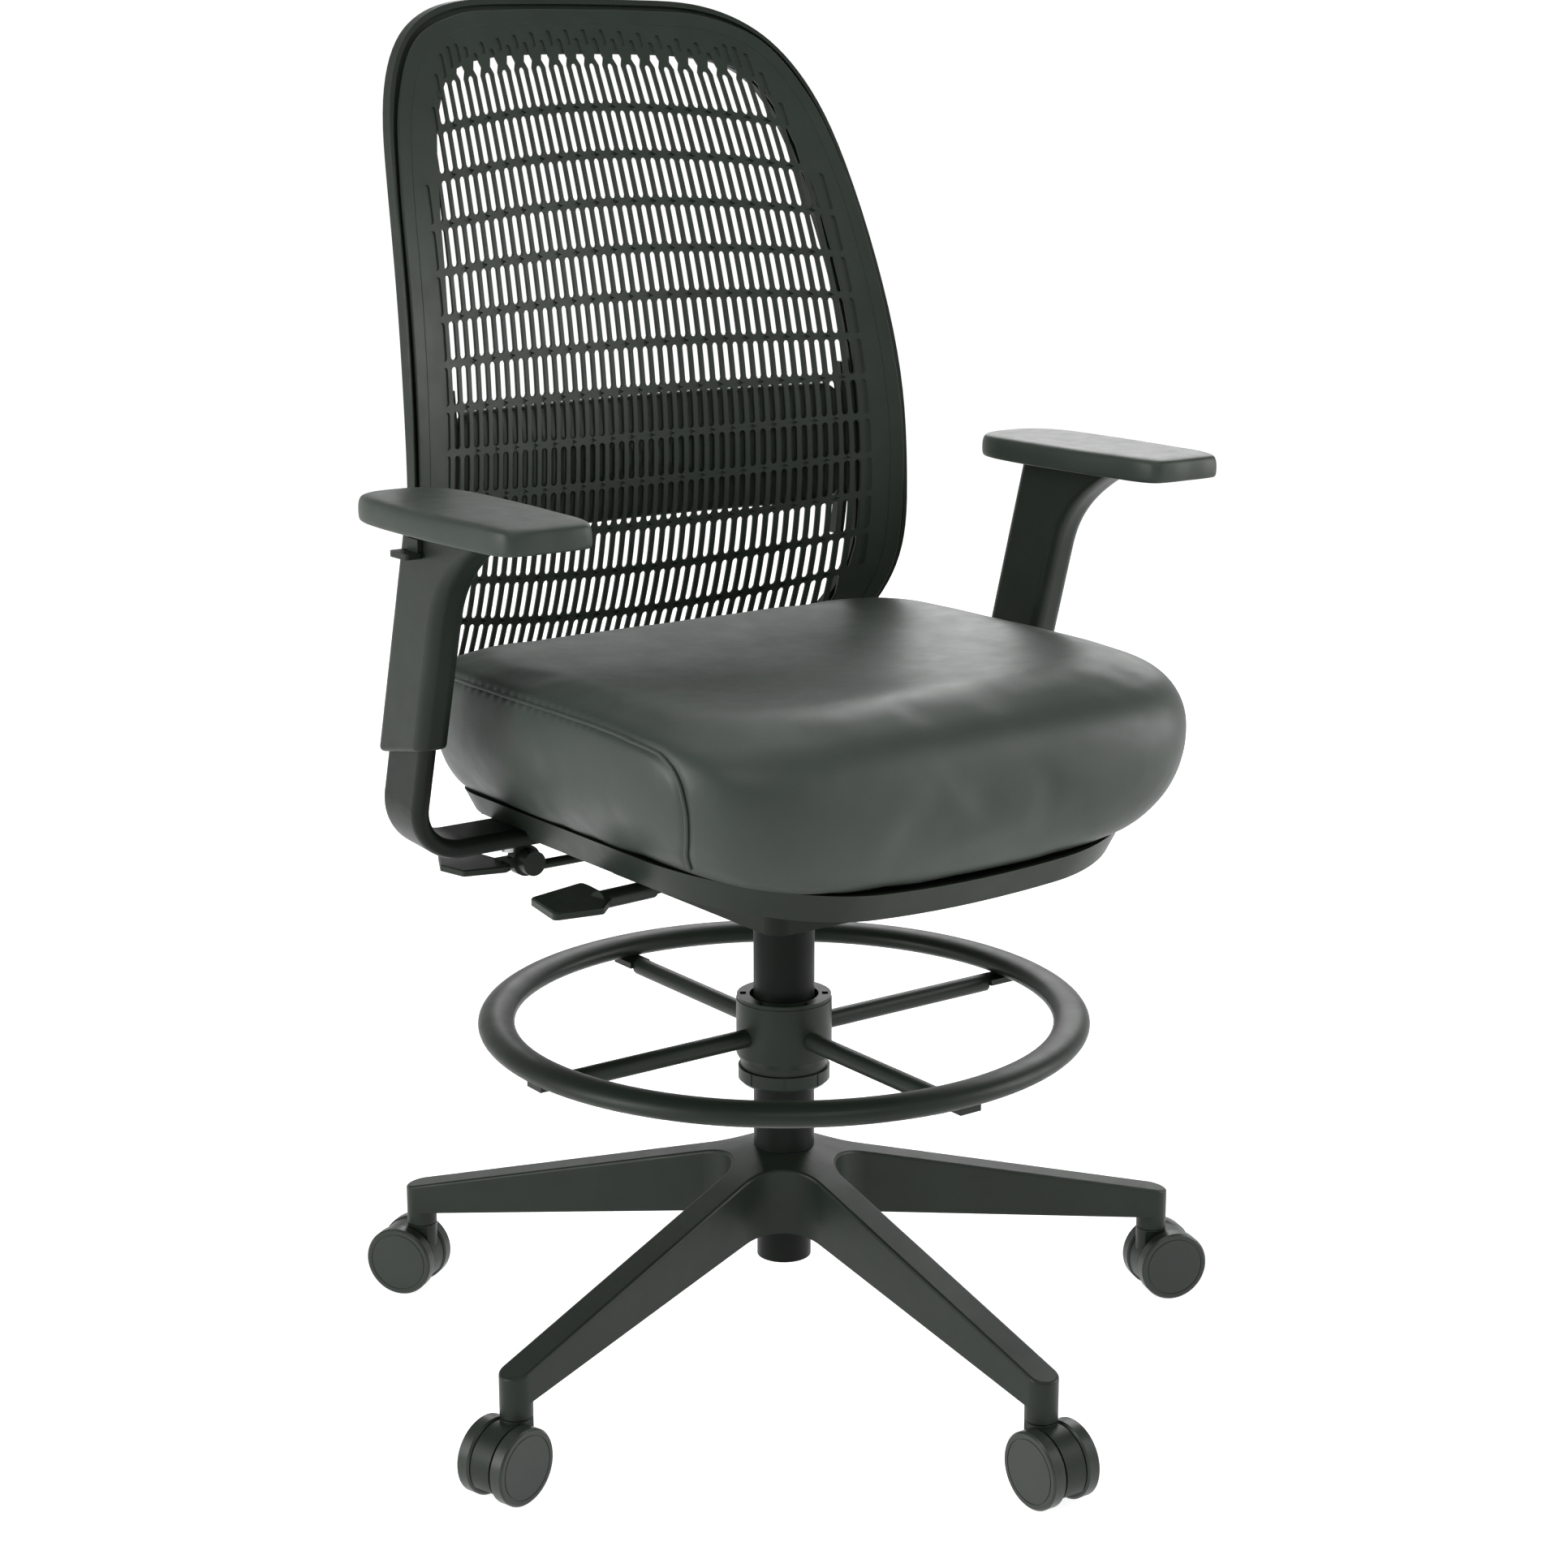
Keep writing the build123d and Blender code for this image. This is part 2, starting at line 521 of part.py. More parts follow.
def make_mechanism():
    width = 2 * HOUSING_HALF_WIDTH
    length = HOUSING_REAR - HOUSING_FRONT
    middle = (HOUSING_REAR + HOUSING_FRONT) / 2
    height = HOUSING_TOP - HOUSING_BOTTOM
    with BuildPart() as mechanism_housing:
        with BuildSketch(Plane.XY.offset(HOUSING_BOTTOM)):
            with Locations((0, middle)):
                RectangleRounded(width, length, 14)
        extrude(amount=height)
        with BuildSketch(Plane.XY.offset(HOUSING_BOTTOM + HOUSING_WALL)):
            with Locations((0, middle)):
                RectangleRounded(width - 2 * HOUSING_WALL, length - 2 * HOUSING_WALL, 10)
        extrude(amount=height, mode=Mode.SUBTRACT)
        with BuildSketch(Plane.XY.offset(HOUSING_BOTTOM)):
            Circle(25)
        extrude(amount=30)
        with BuildSketch(Plane.XY.offset(HOUSING_BOTTOM)):
            Circle(GAS_RADIUS + FIT_GAP)
        extrude(amount=height, mode=Mode.SUBTRACT)
        # open rear wall and floor where the back's fork swings
        with BuildSketch(Plane.XY.offset(HOUSING_BOTTOM)):
            with Locations((0, RECLINE_Y + 20)):
                Rectangle(2 * FORK_HALF_WIDTH + 2, 2 * (HOUSING_REAR - RECLINE_Y) + 4)
        extrude(amount=height, mode=Mode.SUBTRACT)
        with BuildSketch(Plane.YZ.offset(-HOUSING_HALF_WIDTH)):
            with Locations((RECLINE_Y, RECLINE_Z)):
                Circle(PIN_RADIUS + JOIN_GAP)
        extrude(amount=width, mode=Mode.SUBTRACT)
        # slot for the height lever
        with BuildSketch(Plane.YZ.offset(-HOUSING_HALF_WIDTH)):
            with Locations((LEVER_PIVOT[1], HOUSING_TOP - 8)):
                Rectangle(20, 18)
        extrude(amount=HOUSING_WALL, mode=Mode.SUBTRACT)
        # two lugs that hold the height lever's pin
        for offset in (-LUG_PLACE - LUG_THICKNESS, LUG_PLACE):
            with BuildSketch(lever_hinge_plane(offset)):
                with Locations((3, 0)):
                    Rectangle(18, 12)
                Circle(LEVER_PIN_RADIUS + FIT_GAP, mode=Mode.SUBTRACT)
            extrude(amount=LUG_THICKNESS)
    keep(mechanism_housing, "mechanism_housing")

    plate_z = HOUSING_TOP + JOIN_GAP
    with BuildPart() as mechanism_plate:
        with BuildSketch(Plane.XY.offset(plate_z)):
            with Locations((0, middle)):
                RectangleRounded(width, length, 8)
            with Locations((0, BOLT_FRONT_Y), (0, BOLT_REAR_Y)):
                RectangleRounded(2 * BOLT_X + 20, 24, 6)
            with Locations((0, 0)):
                Rectangle(60, 60, mode=Mode.SUBTRACT)
            with Locations((-50, LEVER_PIVOT[1])):
                Rectangle(60, 24, mode=Mode.SUBTRACT)
            with Locations((0, RECLINE_Y)):
                Rectangle(2 * FORK_HALF_WIDTH + 2, 48, mode=Mode.SUBTRACT)
            with Locations((-BOLT_X, BOLT_FRONT_Y), (BOLT_X, BOLT_FRONT_Y), (-BOLT_X, BOLT_REAR_Y),
                           (BOLT_X, BOLT_REAR_Y)):
                Circle(3 + JOIN_GAP, mode=Mode.SUBTRACT)
        extrude(amount=3)
    keep(mechanism_plate, "mechanism_plate")

    with BuildPart() as seat_bolts:
        bolt_points = [(-BOLT_X, BOLT_FRONT_Y), (BOLT_X, BOLT_FRONT_Y), (-BOLT_X, BOLT_REAR_Y), (BOLT_X, BOLT_REAR_Y)]
        with BuildSketch(Plane.XY.offset(plate_z - 4.2)):
            with Locations(*bolt_points):
                RegularPolygon(7, 6)
        extrude(amount=4)
        with BuildSketch(Plane.XY.offset(plate_z - 1)):
            with Locations(*bolt_points):
                Circle(3)
        extrude(amount=12)
        with BuildSketch(Plane.XY.offset(plate_z + 3 + JOIN_GAP)):
            with Locations(*bolt_points):
                Circle(6)
        extrude(amount=30)
        under_dished_line(BOARD_THICKNESS + JOIN_GAP)
    keep(seat_bolts, "seat_bolts")

    with BuildPart() as recline_pin:
        with BuildSketch(Plane.YZ.offset(-HOUSING_HALF_WIDTH - 3)):
            with Locations((RECLINE_Y, RECLINE_Z)):
                Circle(PIN_RADIUS)
        extrude(amount=width + 6)
    keep(recline_pin, "recline_pin")

    with BuildPart() as tilt_spring:
        with BuildSketch(Plane.YZ.offset(-SPRING_HALF_LENGTH)):
            with Locations((RECLINE_Y, RECLINE_Z)):
                Circle(16)
                Circle(PIN_RADIUS + JOIN_GAP, mode=Mode.SUBTRACT)
        extrude(amount=2 * SPRING_HALF_LENGTH)
    keep(tilt_spring, "tilt_spring")


def make_height_lever():
    """Rod from the housing to the paddle, and the tongue that presses the release pin."""
    pivot = Vector(*LEVER_PIVOT)
    tip = Vector(*LEVER_TIP)
    along = (tip - pivot).normalized()
    rod_plane = Plane(origin=pivot, z_dir=along)
    reach = (tip - pivot).length
    with BuildPart() as height_lever_rod:
        with BuildSketch(rod_plane):
            Circle(5)
        extrude(amount=reach - JOIN_GAP)
        tongue_start = Vector(pivot.X, pivot.Y, GAS_TOP + 6 + MOVE_GAP)
        tongue_angle = math.degrees(math.atan2(-pivot.Y, -pivot.X))
        tongue_plane = Plane(origin=tongue_start).rotated((0, 0, tongue_angle))
        tongue_length = math.hypot(pivot.X, pivot.Y) + 4
        with BuildSketch(tongue_plane):
            Rectangle(tongue_length + 5, 8, align=(Align.MIN, Align.CENTER))
        extrude(amount=4)
        with BuildSketch(Plane(origin=pivot + Vector(0, 0, -5)).rotated((0, 0, tongue_angle))):
            Rectangle(10, 8)
        extrude(amount=tongue_start.Z + 4 - pivot.Z + 5)
        pin_half = LUG_PLACE + LUG_THICKNESS
        with BuildSketch(lever_hinge_plane(-pin_half)):
            Circle(LEVER_PIN_RADIUS)
        extrude(amount=2 * pin_half)
    keep(height_lever_rod, "height_lever_rod")

    with BuildPart() as height_lever_paddle:
        with BuildSketch(Plane.XY.offset(tip.Z - 3)):
            with BuildLine():
                FilletPolyline(
                    (-199, -10), (-198.5, -22), (-202, -57), (-222, -77), (-261, -70), (-253, -23),
                    radius=4, close=True,
                )
            make_face()
        extrude(amount=6)
        chamfer(height_lever_paddle.edges().group_by(Axis.Z)[-1], 1.2)
        with BuildSketch(rod_plane.offset(reach - 52)):
            Circle(7.2)
        extrude(amount=60)
        with BuildSketch(rod_plane.offset(reach - 60)):
            Circle(5 + JOIN_GAP)
        extrude(amount=60, mode=Mode.SUBTRACT)
    keep(height_lever_paddle, "height_lever_paddle")


def make_back_lever():
    x, y, z = BACK_LEVER_PIVOT
    with BuildPart() as back_lever_barrel:
        with BuildSketch(Plane.XZ.offset(-(y + 12))):
            with Locations((x, z)):
                Circle(BACK_LEVER_BARREL)
        extrude(amount=26)
        with BuildSketch(Plane.YZ.offset(x)):
            with Locations((y - 9, z - 3)):
                Circle(4)
        extrude(amount=-x - HOUSING_HALF_WIDTH - JOIN_GAP)
    keep(back_lever_barrel, "back_lever_barrel")

    with BuildPart() as back_lever_paddle:
        with BuildSketch(Plane.XY.offset(z - 2.6)):
            with BuildLine():
                FilletPolyline(
                    (x - 20, y - 11), (x - 27, y - 15), (x - 60, y - 6), (x - 66, y + 20),
                    (x - 50, y + 52), (x - 26, y + 46), (x - 20, y + 12),
                    radius=3, close=True,
                )
            make_face()
        extrude(amount=5.2)
        chamfer(back_lever_paddle.edges().group_by(Axis.Z)[-1], 1.0)
        with BuildSketch(Plane.XZ.offset(-(y + 8))):
            with Locations((x, z)):
                Circle(BACK_LEVER_BARREL + 2.6)
        extrude(amount=10)
        with BuildSketch(Plane.YZ.offset(x - 24)):
            with Locations((y + 3, z)):
                Rectangle(10, 8)
        extrude(amount=16)
        with BuildSketch(Plane.XZ.offset(-(y + 30))):
            with Locations((x, z)):
                Circle(BACK_LEVER_BARREL + FIT_GAP)
        extrude(amount=60, mode=Mode.SUBTRACT)
    keep(back_lever_paddle, "back_lever_paddle")


# ---- Back --------------------------------------------------------------------

def back_y(x, z):
    """Depth of the back's front face: a lumbar curve in Z and a hollow across X."""
    t = (z - 850) / 100
    u = (x / 100) ** 2
    lumbar = 200.5 + 22.0 * t + 7.96 * t ** 2 - 0.595 * t ** 3 + 0.12 * t ** 4
    hollow = (-7.72 + 0.1 * t) * u + 0.63 * u ** 2
    wings = (0.0962 - 0.0351 * t) * (3.09 * u ** 2 - u ** 3)
    return lumbar + hollow + wings


def back_slab(front, rear):
    """Solid between the back's front face moved to front and to rear along Y."""
    across = 8
    rise = 12
    half = 280
    bottom = BACK_BOTTOM - 30
    top = BACK_TOP + 30
    xs = [-half + 2 * half * i / across for i in range(across + 1)]
    zs = [bottom + (top - bottom) * j / rise for j in range(rise + 1)]
    grid = [[Vector(x, back_y(x, z) + front, z) for z in zs] for x in xs]
    surface = Face.make_surface_from_array_of_points(grid, tol=0.02, max_deg=3)
    return Solid.extrude(surface, Vector(0, rear - front, 0))


def back_outline(top, side):
    """Outline of the back's skin, moved out by top along the top and by side elsewhere."""
    corner = (top + side) / 2
    with BuildLine() as outline:
        Spline(
            (0, BACK_TOP + top), (66 + top * 0.05, BACK_TOP - 0.7 + top), (121 + corner * 0.2, 1081 + top),
            (169 + corner * 0.66, 1061 + corner * 0.75), (199.5 + corner * 0.9, 1016 + corner * 0.4),
            (216.5 + side, 955 + side * 0.15), (228 + side, 870), (237 + side, 770), (240 + side, 690),
            (237 + side, 600), (201 + side * 0.8, 527 - side * 0.7), (0, BACK_BOTTOM - side),
            tangents=[(1, 0), (-1, 0)],
        )
        mirror(about=Plane.YZ)
    make_face(outline.line)


def back_prism(outer, inner=None):
    """Extruded outline of the back, as a ring where an inner outline is given."""
    with BuildPart(mode=Mode.PRIVATE) as prism:
        with BuildSketch(Plane.XZ.offset(-100)):
            back_outline(*outer)
        extrude(amount=-280)
        if inner is not None:
            with BuildSketch(Plane.XZ.offset(-100)):
                back_outline(*inner)
            extrude(amount=-280, mode=Mode.SUBTRACT)
    return prism.part


def slot_places(rows):
    """Centres of the lattice's slots, as x and z, for bands of rows."""
    places = []
    for low, high in rows:
        z = (low + high) / 2
        t = (z - 850) / 100
        pitch = 9.59 - 0.305 * t - 0.034 * t ** 2
        for column in range(-LATTICE_HALF_COLUMNS, LATTICE_HALF_COLUMNS + 1):
            places.append((column * pitch, z))
    return places


def make_back():
    skin_prism = back_prism((0, 0))
    skin_slab = back_slab(0, SKIN_THICKNESS)
    bands = [(554, 666), (676, 782), (792, 898), (908, 1000)]
    with BuildPart() as slots:
        for low, high in bands:
            with BuildSketch(Plane.XZ.offset(-100)):
                with Locations(*slot_places([(low, high)])):
                    Rectangle(SLOT_WIDTH, high - low)
            extrude(amount=-280)
    with BuildPart() as back_skin:
        add(skin_slab)
        add(skin_prism, mode=Mode.INTERSECT)
        add(slots.part, mode=Mode.SUBTRACT)
    keep(back_skin, "back_skin")

    seat_front = SKIN_THICKNESS + FRAME_GAP
    rim_prism = back_prism((9, 5), (4.5, 2))
    web_prism = back_prism((9, 5), (-36, -37))
    seat_prism = back_prism((-2, -2), (-16, -16))
    with BuildPart() as back_frame:
        with BuildPart(mode=Mode.PRIVATE) as rim:
            add(back_slab(FRAME_FRONT, FRAME_REAR))
            add(rim_prism, mode=Mode.INTERSECT)
        with BuildPart(mode=Mode.PRIVATE) as skin_seat:
            add(back_slab(seat_front, WEB_FRONT + 1))
            add(seat_prism, mode=Mode.INTERSECT)
        add(back_slab(WEB_FRONT, FRAME_REAR))
        add(web_prism, mode=Mode.INTERSECT)
        add(rim.part)
        add(skin_seat.part)
    keep(back_frame, "back_frame")

    fork_top = RECLINE_Z + 10
    fork_under = RECLINE_Z - 10
    bar_front = 268
    bar_rear = 296
    upright_top = 548
    with BuildPart() as back_upright:
        with BuildSketch(Plane.YZ.offset(-FORK_HALF_WIDTH)):
            with BuildLine():
                FilletPolyline(
                    (RECLINE_Y, fork_top), (bar_front, fork_top), (bar_front, 494), (240, 506), (226, upright_top),
                    (262, upright_top), (bar_rear, 500), (bar_rear, fork_under + 2), (RECLINE_Y, fork_under),
                    radius=4, close=True,
                )
            make_face()
            with Locations((RECLINE_Y, RECLINE_Z)):
                Circle(12)
        extrude(amount=2 * FORK_HALF_WIDTH)
        with BuildSketch(Plane.XY.offset(RECLINE_Z - 40)):
            with Locations((0, RECLINE_Y)):
                Rectangle(2 * SPRING_HALF_LENGTH + 2, 60)
        extrude(amount=80, mode=Mode.SUBTRACT)
        with BuildSketch(Plane.YZ.offset(-FORK_HALF_WIDTH)):
            with Locations((RECLINE_Y, RECLINE_Z)):
                Circle(PIN_RADIUS + FIT_GAP)
        extrude(amount=2 * FORK_HALF_WIDTH, mode=Mode.SUBTRACT)
        with BuildPart(mode=Mode.PRIVATE) as frame_space:
            add(back_slab(-90, FRAME_REAR + JOIN_GAP))
            add(back_prism((6, 6)), mode=Mode.INTERSECT)
        add(frame_space.part, mode=Mode.SUBTRACT)
    keep(back_upright, "back_upright")

    rail_front = SKIN_THICKNESS + 4
    with BuildPart() as lumbar_rails:
        add(back_slab(rail_front + 2, rail_front + 12))
        with BuildPart(mode=Mode.PRIVATE) as rail_prism:
            with BuildSketch(Plane.XZ.offset(-100)):
                with Locations((-193.9, 718), (193.9, 718)):
                    Rectangle(6.8, 150)
            extrude(amount=-280)
        add(rail_prism.part, mode=Mode.INTERSECT)
    keep(lumbar_rails, "lumbar_rails")

    with BuildPart() as lumbar_pad:
        add(back_slab(rail_front, rail_front + 14))
        with BuildPart(mode=Mode.PRIVATE) as pad_prism:
            with BuildSketch(Plane.XZ.offset(-100)):
                with Locations((0, 724)):
                    RectangleRounded(2 * 190, 104, 12)
            extrude(amount=-280)
        add(pad_prism.part, mode=Mode.INTERSECT)
    keep(lumbar_pad, "lumbar_pad")


# ---- Arms --------------------------------------------------------------------

def make_arm(side, name):
    """One arm: side is -1 for the sitter's right and +1 for the left."""
    lean = math.radians(ARM_LEAN)
    up = Vector(0, -math.sin(lean), math.cos(lean))
    pivot = Vector(side * ARM_X, ARM_PIVOT_Y, ARM_PIVOT_Z)
    across = Plane(origin=pivot, x_dir=(1, 0, 0), z_dir=up)

    drop = (ARM_PIVOT_Z - STALK_FOOT_Z) / math.cos(lean)
    inward = Vector(-side, 0, 0)
    head = pivot + up * STALK_TOP
    foot = pivot - up * drop
    bend_start = foot + up * STALK_BEND
    bend_end = foot + inward * STALK_BEND
    bend_centre = bend_start + inward * STALK_BEND
    bend_middle = bend_centre - (up + inward).normalized() * STALK_BEND
    stalk_end = foot + inward * (ARM_X - STALK_END_X)
    upright_blade = Plane(origin=bend_start, x_dir=(1, 0, 0), z_dir=up * -1)
    flat_blade = Plane(origin=bend_end, x_dir=(0, 0, 1), z_dir=inward)
    with BuildPart() as arm_stalk:
        with BuildSketch(upright_blade) as upright_section:
            RectangleRounded(STALK_THICK, STALK_WIDTH, STALK_EDGE)
        extrude(amount=-(head - bend_start).length)
        with BuildSketch(flat_blade) as flat_section:
            RectangleRounded(STALK_THICK, STALK_WIDTH, STALK_EDGE)
        extrude(amount=(stalk_end - bend_end).length)
        # the blade turns flat through the bend, so that its foot lies along the seat board
        with BuildLine() as bend:
            ThreePointArc(bend_start, bend_middle, bend_end)
        sweep([upright_section.sketch, flat_section.sketch], path=bend.line, multisection=True)
        add(seat_block(BOARD_THICKNESS + JOIN_GAP), mode=Mode.SUBTRACT)
    keep(arm_stalk, f"arm_stalk_{name}")

    half_depth = SLEEVE_WIDTH / 2 / math.cos(lean)
    sleeve_top = PAD_BOTTOM - JOIN_GAP

    def sleeve_section(z):
        share = max(0, (z - FLARE_START_Z) / (sleeve_top - FLARE_START_Z))
        front = arm_y(z) - half_depth - FLARE_REACH * share ** 2.6
        rear = arm_y(z) + half_depth
        with BuildSketch(Plane.XY.offset(z)) as section:
            with Locations((side * ARM_X, (front + rear) / 2)):
                RectangleRounded(SLEEVE_THICK, rear - front, SLEEVE_EDGE)
        return section.sketch

    with BuildPart() as arm_sleeve:
        loft([sleeve_section(SLEEVE_FRONT_FOOT_Z - 20), sleeve_section(FLARE_START_Z)])
        flare_levels = [FLARE_START_Z + (sleeve_top - FLARE_START_Z) * k / 7 for k in range(8)]
        loft([sleeve_section(z) for z in flare_levels])
        with BuildSketch(Plane.YZ.offset(side * ARM_X - SLEEVE_THICK)):
            with BuildLine():
                front_foot = arm_y(SLEEVE_FRONT_FOOT_Z) - half_depth - 0.5
                rear_foot = arm_y(SLEEVE_REAR_FOOT_Z) + half_depth + 0.5
                Polyline(
                    (front_foot, SLEEVE_FRONT_FOOT_Z), (rear_foot, SLEEVE_REAR_FOOT_Z),
                    (rear_foot + 40, SLEEVE_REAR_FOOT_Z - 50), (front_foot - 40, SLEEVE_REAR_FOOT_Z - 50),
                    close=True,
                )
            make_face()
        extrude(amount=2 * SLEEVE_THICK, mode=Mode.SUBTRACT)
        sleeve_foot = arm_sleeve.faces().sort_by(Axis.Z)[0]
        fillet(sleeve_foot.edges(), radius=4)
        with BuildSketch(across.offset(-30)):
            RectangleRounded(STALK_THICK + 1.0, STALK_WIDTH + 1.0, 7)
        extrude(amount=STALK_TOP + 35, mode=Mode.SUBTRACT)
    keep(arm_sleeve, f"arm_sleeve_{name}")

    pad_y = -25.0
    with BuildPart() as arm_pad:
        with BuildSketch(Plane.XY.offset(PAD_BOTTOM)):
            with BuildLine():
                front, rear, centre = -142.0, 92.0, side * ARM_X
                Spline((centre - 38, front + 14), (centre - 45.5, pad_y), (centre - 36, rear - 22))
                Line((centre - 36, rear - 22), (centre - 20, rear - 3))
                ThreePointArc((centre - 20, rear - 3), (centre, rear), (centre + 20, rear - 3))
                Line((centre + 20, rear - 3), (centre + 36, rear - 22))
                Spline((centre + 36, rear - 22), (centre + 45.5, pad_y), (centre + 38, front + 14))
                Line((centre + 38, front + 14), (centre + 24, front))
                Line((centre + 24, front), (centre - 24, front))
                Line((centre - 24, front), (centre - 38, front + 14))
            make_face()
        extrude(amount=PAD_TOP - PAD_BOTTOM)
        chamfer(arm_pad.edges().group_by(Axis.Z)[-1], 3)
    keep(arm_pad, f"arm_pad_{name}")

    with BuildPart() as arm_trigger:
        outer_face = ARM_X + SLEEVE_THICK / 2 + MOVE_GAP
        with BuildSketch(Plane.XY.offset(694)):
            with Locations((side * (outer_face + 7.5), 27)):
                RectangleRounded(15, 25, 3)
        extrude(amount=4.5)
        with BuildSketch(Plane.XY.offset(694)):
            with Locations((side * (outer_face + 2), 24)):
                Rectangle(4, 16)
        extrude(amount=14)
    keep(arm_trigger, f"arm_trigger_{name}")


def make_stalk_screws():
    foot_y = arm_y(STALK_FOOT_Z)
    with BuildPart() as stalk_screws:
        with BuildSketch(Plane.XY.offset(STALK_FOOT_Z - STALK_THICK / 2 - JOIN_GAP)):
            with Locations(
                (-STALK_SCREW_X, foot_y - 14), (-STALK_SCREW_X, foot_y + 14),
                (STALK_SCREW_X, foot_y - 14), (STALK_SCREW_X, foot_y + 14),
            ):
                Circle(5.5)
        extrude(amount=-3.5)
    keep(stalk_screws, "stalk_screws")


make_base_star()
make_column()
make_caster_stems()
for caster_number in range(1, LEG_COUNT + 1):
    make_caster(caster_number)
make_foot_ring()
make_seat()
make_mechanism()
make_height_lever()
make_back_lever()
make_back()
make_arm(-1, "right")
make_arm(1, "left")
make_stalk_screws()
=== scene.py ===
"""Looks of the drafting chair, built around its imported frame.

Lengths are in millimetres until a mesh is made; lights and the camera are in metres.
"""

import json
import math

import bpy
import numpy as np
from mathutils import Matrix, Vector, geometry
from mathutils.bvhtree import BVHTree


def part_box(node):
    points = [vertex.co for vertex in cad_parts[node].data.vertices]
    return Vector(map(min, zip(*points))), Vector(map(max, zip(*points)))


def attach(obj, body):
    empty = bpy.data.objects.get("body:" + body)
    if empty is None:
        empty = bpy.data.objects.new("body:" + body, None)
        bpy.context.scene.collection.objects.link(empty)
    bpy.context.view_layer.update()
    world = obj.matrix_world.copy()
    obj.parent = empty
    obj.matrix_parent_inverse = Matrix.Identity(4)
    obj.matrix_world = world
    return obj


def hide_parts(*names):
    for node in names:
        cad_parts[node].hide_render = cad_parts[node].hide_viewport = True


MM = 0.001

# ---- Driving dimensions (millimetres) ----------------------------------------

SKIN_THICKNESS = 2.4
BACK_TOP = 1086.0
BACK_BOTTOM = 505.0
COLUMNS = 20                  # lattice columns on each side of the middle one
ROW_PITCH = 37.85
ROW_ZERO_Z = 988.8
ROWS = range(-1, 12)
SLOT_LENGTH = 32.3
SLOT_WIDTH = 5.4
SLOT_ROUNDING = 0.45
FIELD_MARGIN = 36.0           # from the shell's edge to the see-through field
INSET_LINE = 11.5             # the fine line that runs round the shell
NOTCHED_COLUMNS = 16          # the top row has star notches out to this column
NOTCH_TOP = 1053.0            # flat top of a notched slot at the middle column
NOTCH_RISE = 4.2              # from the end of a plain slot up to the star's middle
NOTCH_SHOULDER = 6.5          # the least height of slot above the star's middle
BLIND_WIDTH = 4.6             # shallow slots moulded round the see-through field
BLIND_ROUNDING = 0.35
BLIND_DEPTH = 1.3
STAR_DEPTH = 1.7

SEAT_ARC = 1000.0
SEAT_LINE_Z = 457.0
PIPING_RADIUS = 1.7

ARM_X = 299.8

FLOOR_HALF = 30000.0

# ---- Camera and lights (metres) ----------------------------------------------

CAMERA_AZIMUTH = math.radians(-36.17)
CAMERA_PITCH = math.radians(14.024)
CAMERA_DISTANCE = 2.28141     # along the floor, from the column
CAMERA_HEIGHT = 1.0515
LIGHTS = [
    # name, place, target, size, power in watts
    ("soft_top", (0.2, 0.4, 3.2), (0, 0, 0.6), (2.0, 2.0), 25),
    ("soft_rear", (2.2, 2.2, 2.2), (0, 0, 0.6), (2.4, 1.6), 60),
    ("soft_left", (-3.0, 0.4, 1.5), (0, 0, 0.6), (1.2, 2.2), 80),
    ("soft_right", (2.8, -1.6, 1.4), (0, 0, 0.5), (1.2, 2.2), 70),
    ("soft_front", (-0.6, -1.8, 3.0), (0, 0.2, 0.9), (1.6, 1.2), 22),
]


# ---- Mesh helpers ------------------------------------------------------------

def mesh_object(name, points_mm, faces, smooth=True):
    """Make an object from points in millimetres."""
    mesh = bpy.data.meshes.new(name)
    mesh.from_pydata([Vector(p) * MM for p in points_mm], [], faces)
    mesh.validate()
    if smooth:
        mesh.shade_smooth()
    piece = bpy.data.objects.new(name, mesh)
    bpy.context.scene.collection.objects.link(piece)
    return piece


def apply_modifiers(piece):
    """Replace the mesh with what its modifiers make of it."""
    graph = bpy.context.evaluated_depsgraph_get()
    mesh = bpy.data.meshes.new_from_object(piece.evaluated_get(graph))
    piece.modifiers.clear()
    piece.data = mesh


def smooth_curve(points, count, closed=False):
    """Points along a centripetal Catmull-Rom curve through the given points."""
    pts = [np.array(p, float) for p in points]
    if closed:
        pts = [pts[-1]] + pts + [pts[0], pts[1]]
    else:
        pts = [2 * pts[0] - pts[1]] + pts + [2 * pts[-1] - pts[-2]]
    out = []
    for a, b, c, d in zip(pts, pts[1:], pts[2:], pts[3:]):
        t0 = 0.0
        t1 = t0 + np.linalg.norm(b - a) ** 0.5
        t2 = t1 + np.linalg.norm(c - b) ** 0.5
        t3 = t2 + np.linalg.norm(d - c) ** 0.5
        for t in np.linspace(t1, t2, count, endpoint=False):
            ab = (t1 - t) / (t1 - t0) * a + (t - t0) / (t1 - t0) * b
            bc = (t2 - t) / (t2 - t1) * b + (t - t1) / (t2 - t1) * c
            cd = (t3 - t) / (t3 - t2) * c + (t - t2) / (t3 - t2) * d
            abc = (t2 - t) / (t2 - t0) * ab + (t - t0) / (t2 - t0) * bc
            bcd = (t3 - t) / (t3 - t1) * bc + (t - t1) / (t3 - t1) * cd
            out.append((t2 - t) / (t2 - t1) * abc + (t - t1) / (t2 - t1) * bcd)
    if not closed:
        out.append(pts[-2])
    return np.array(out)


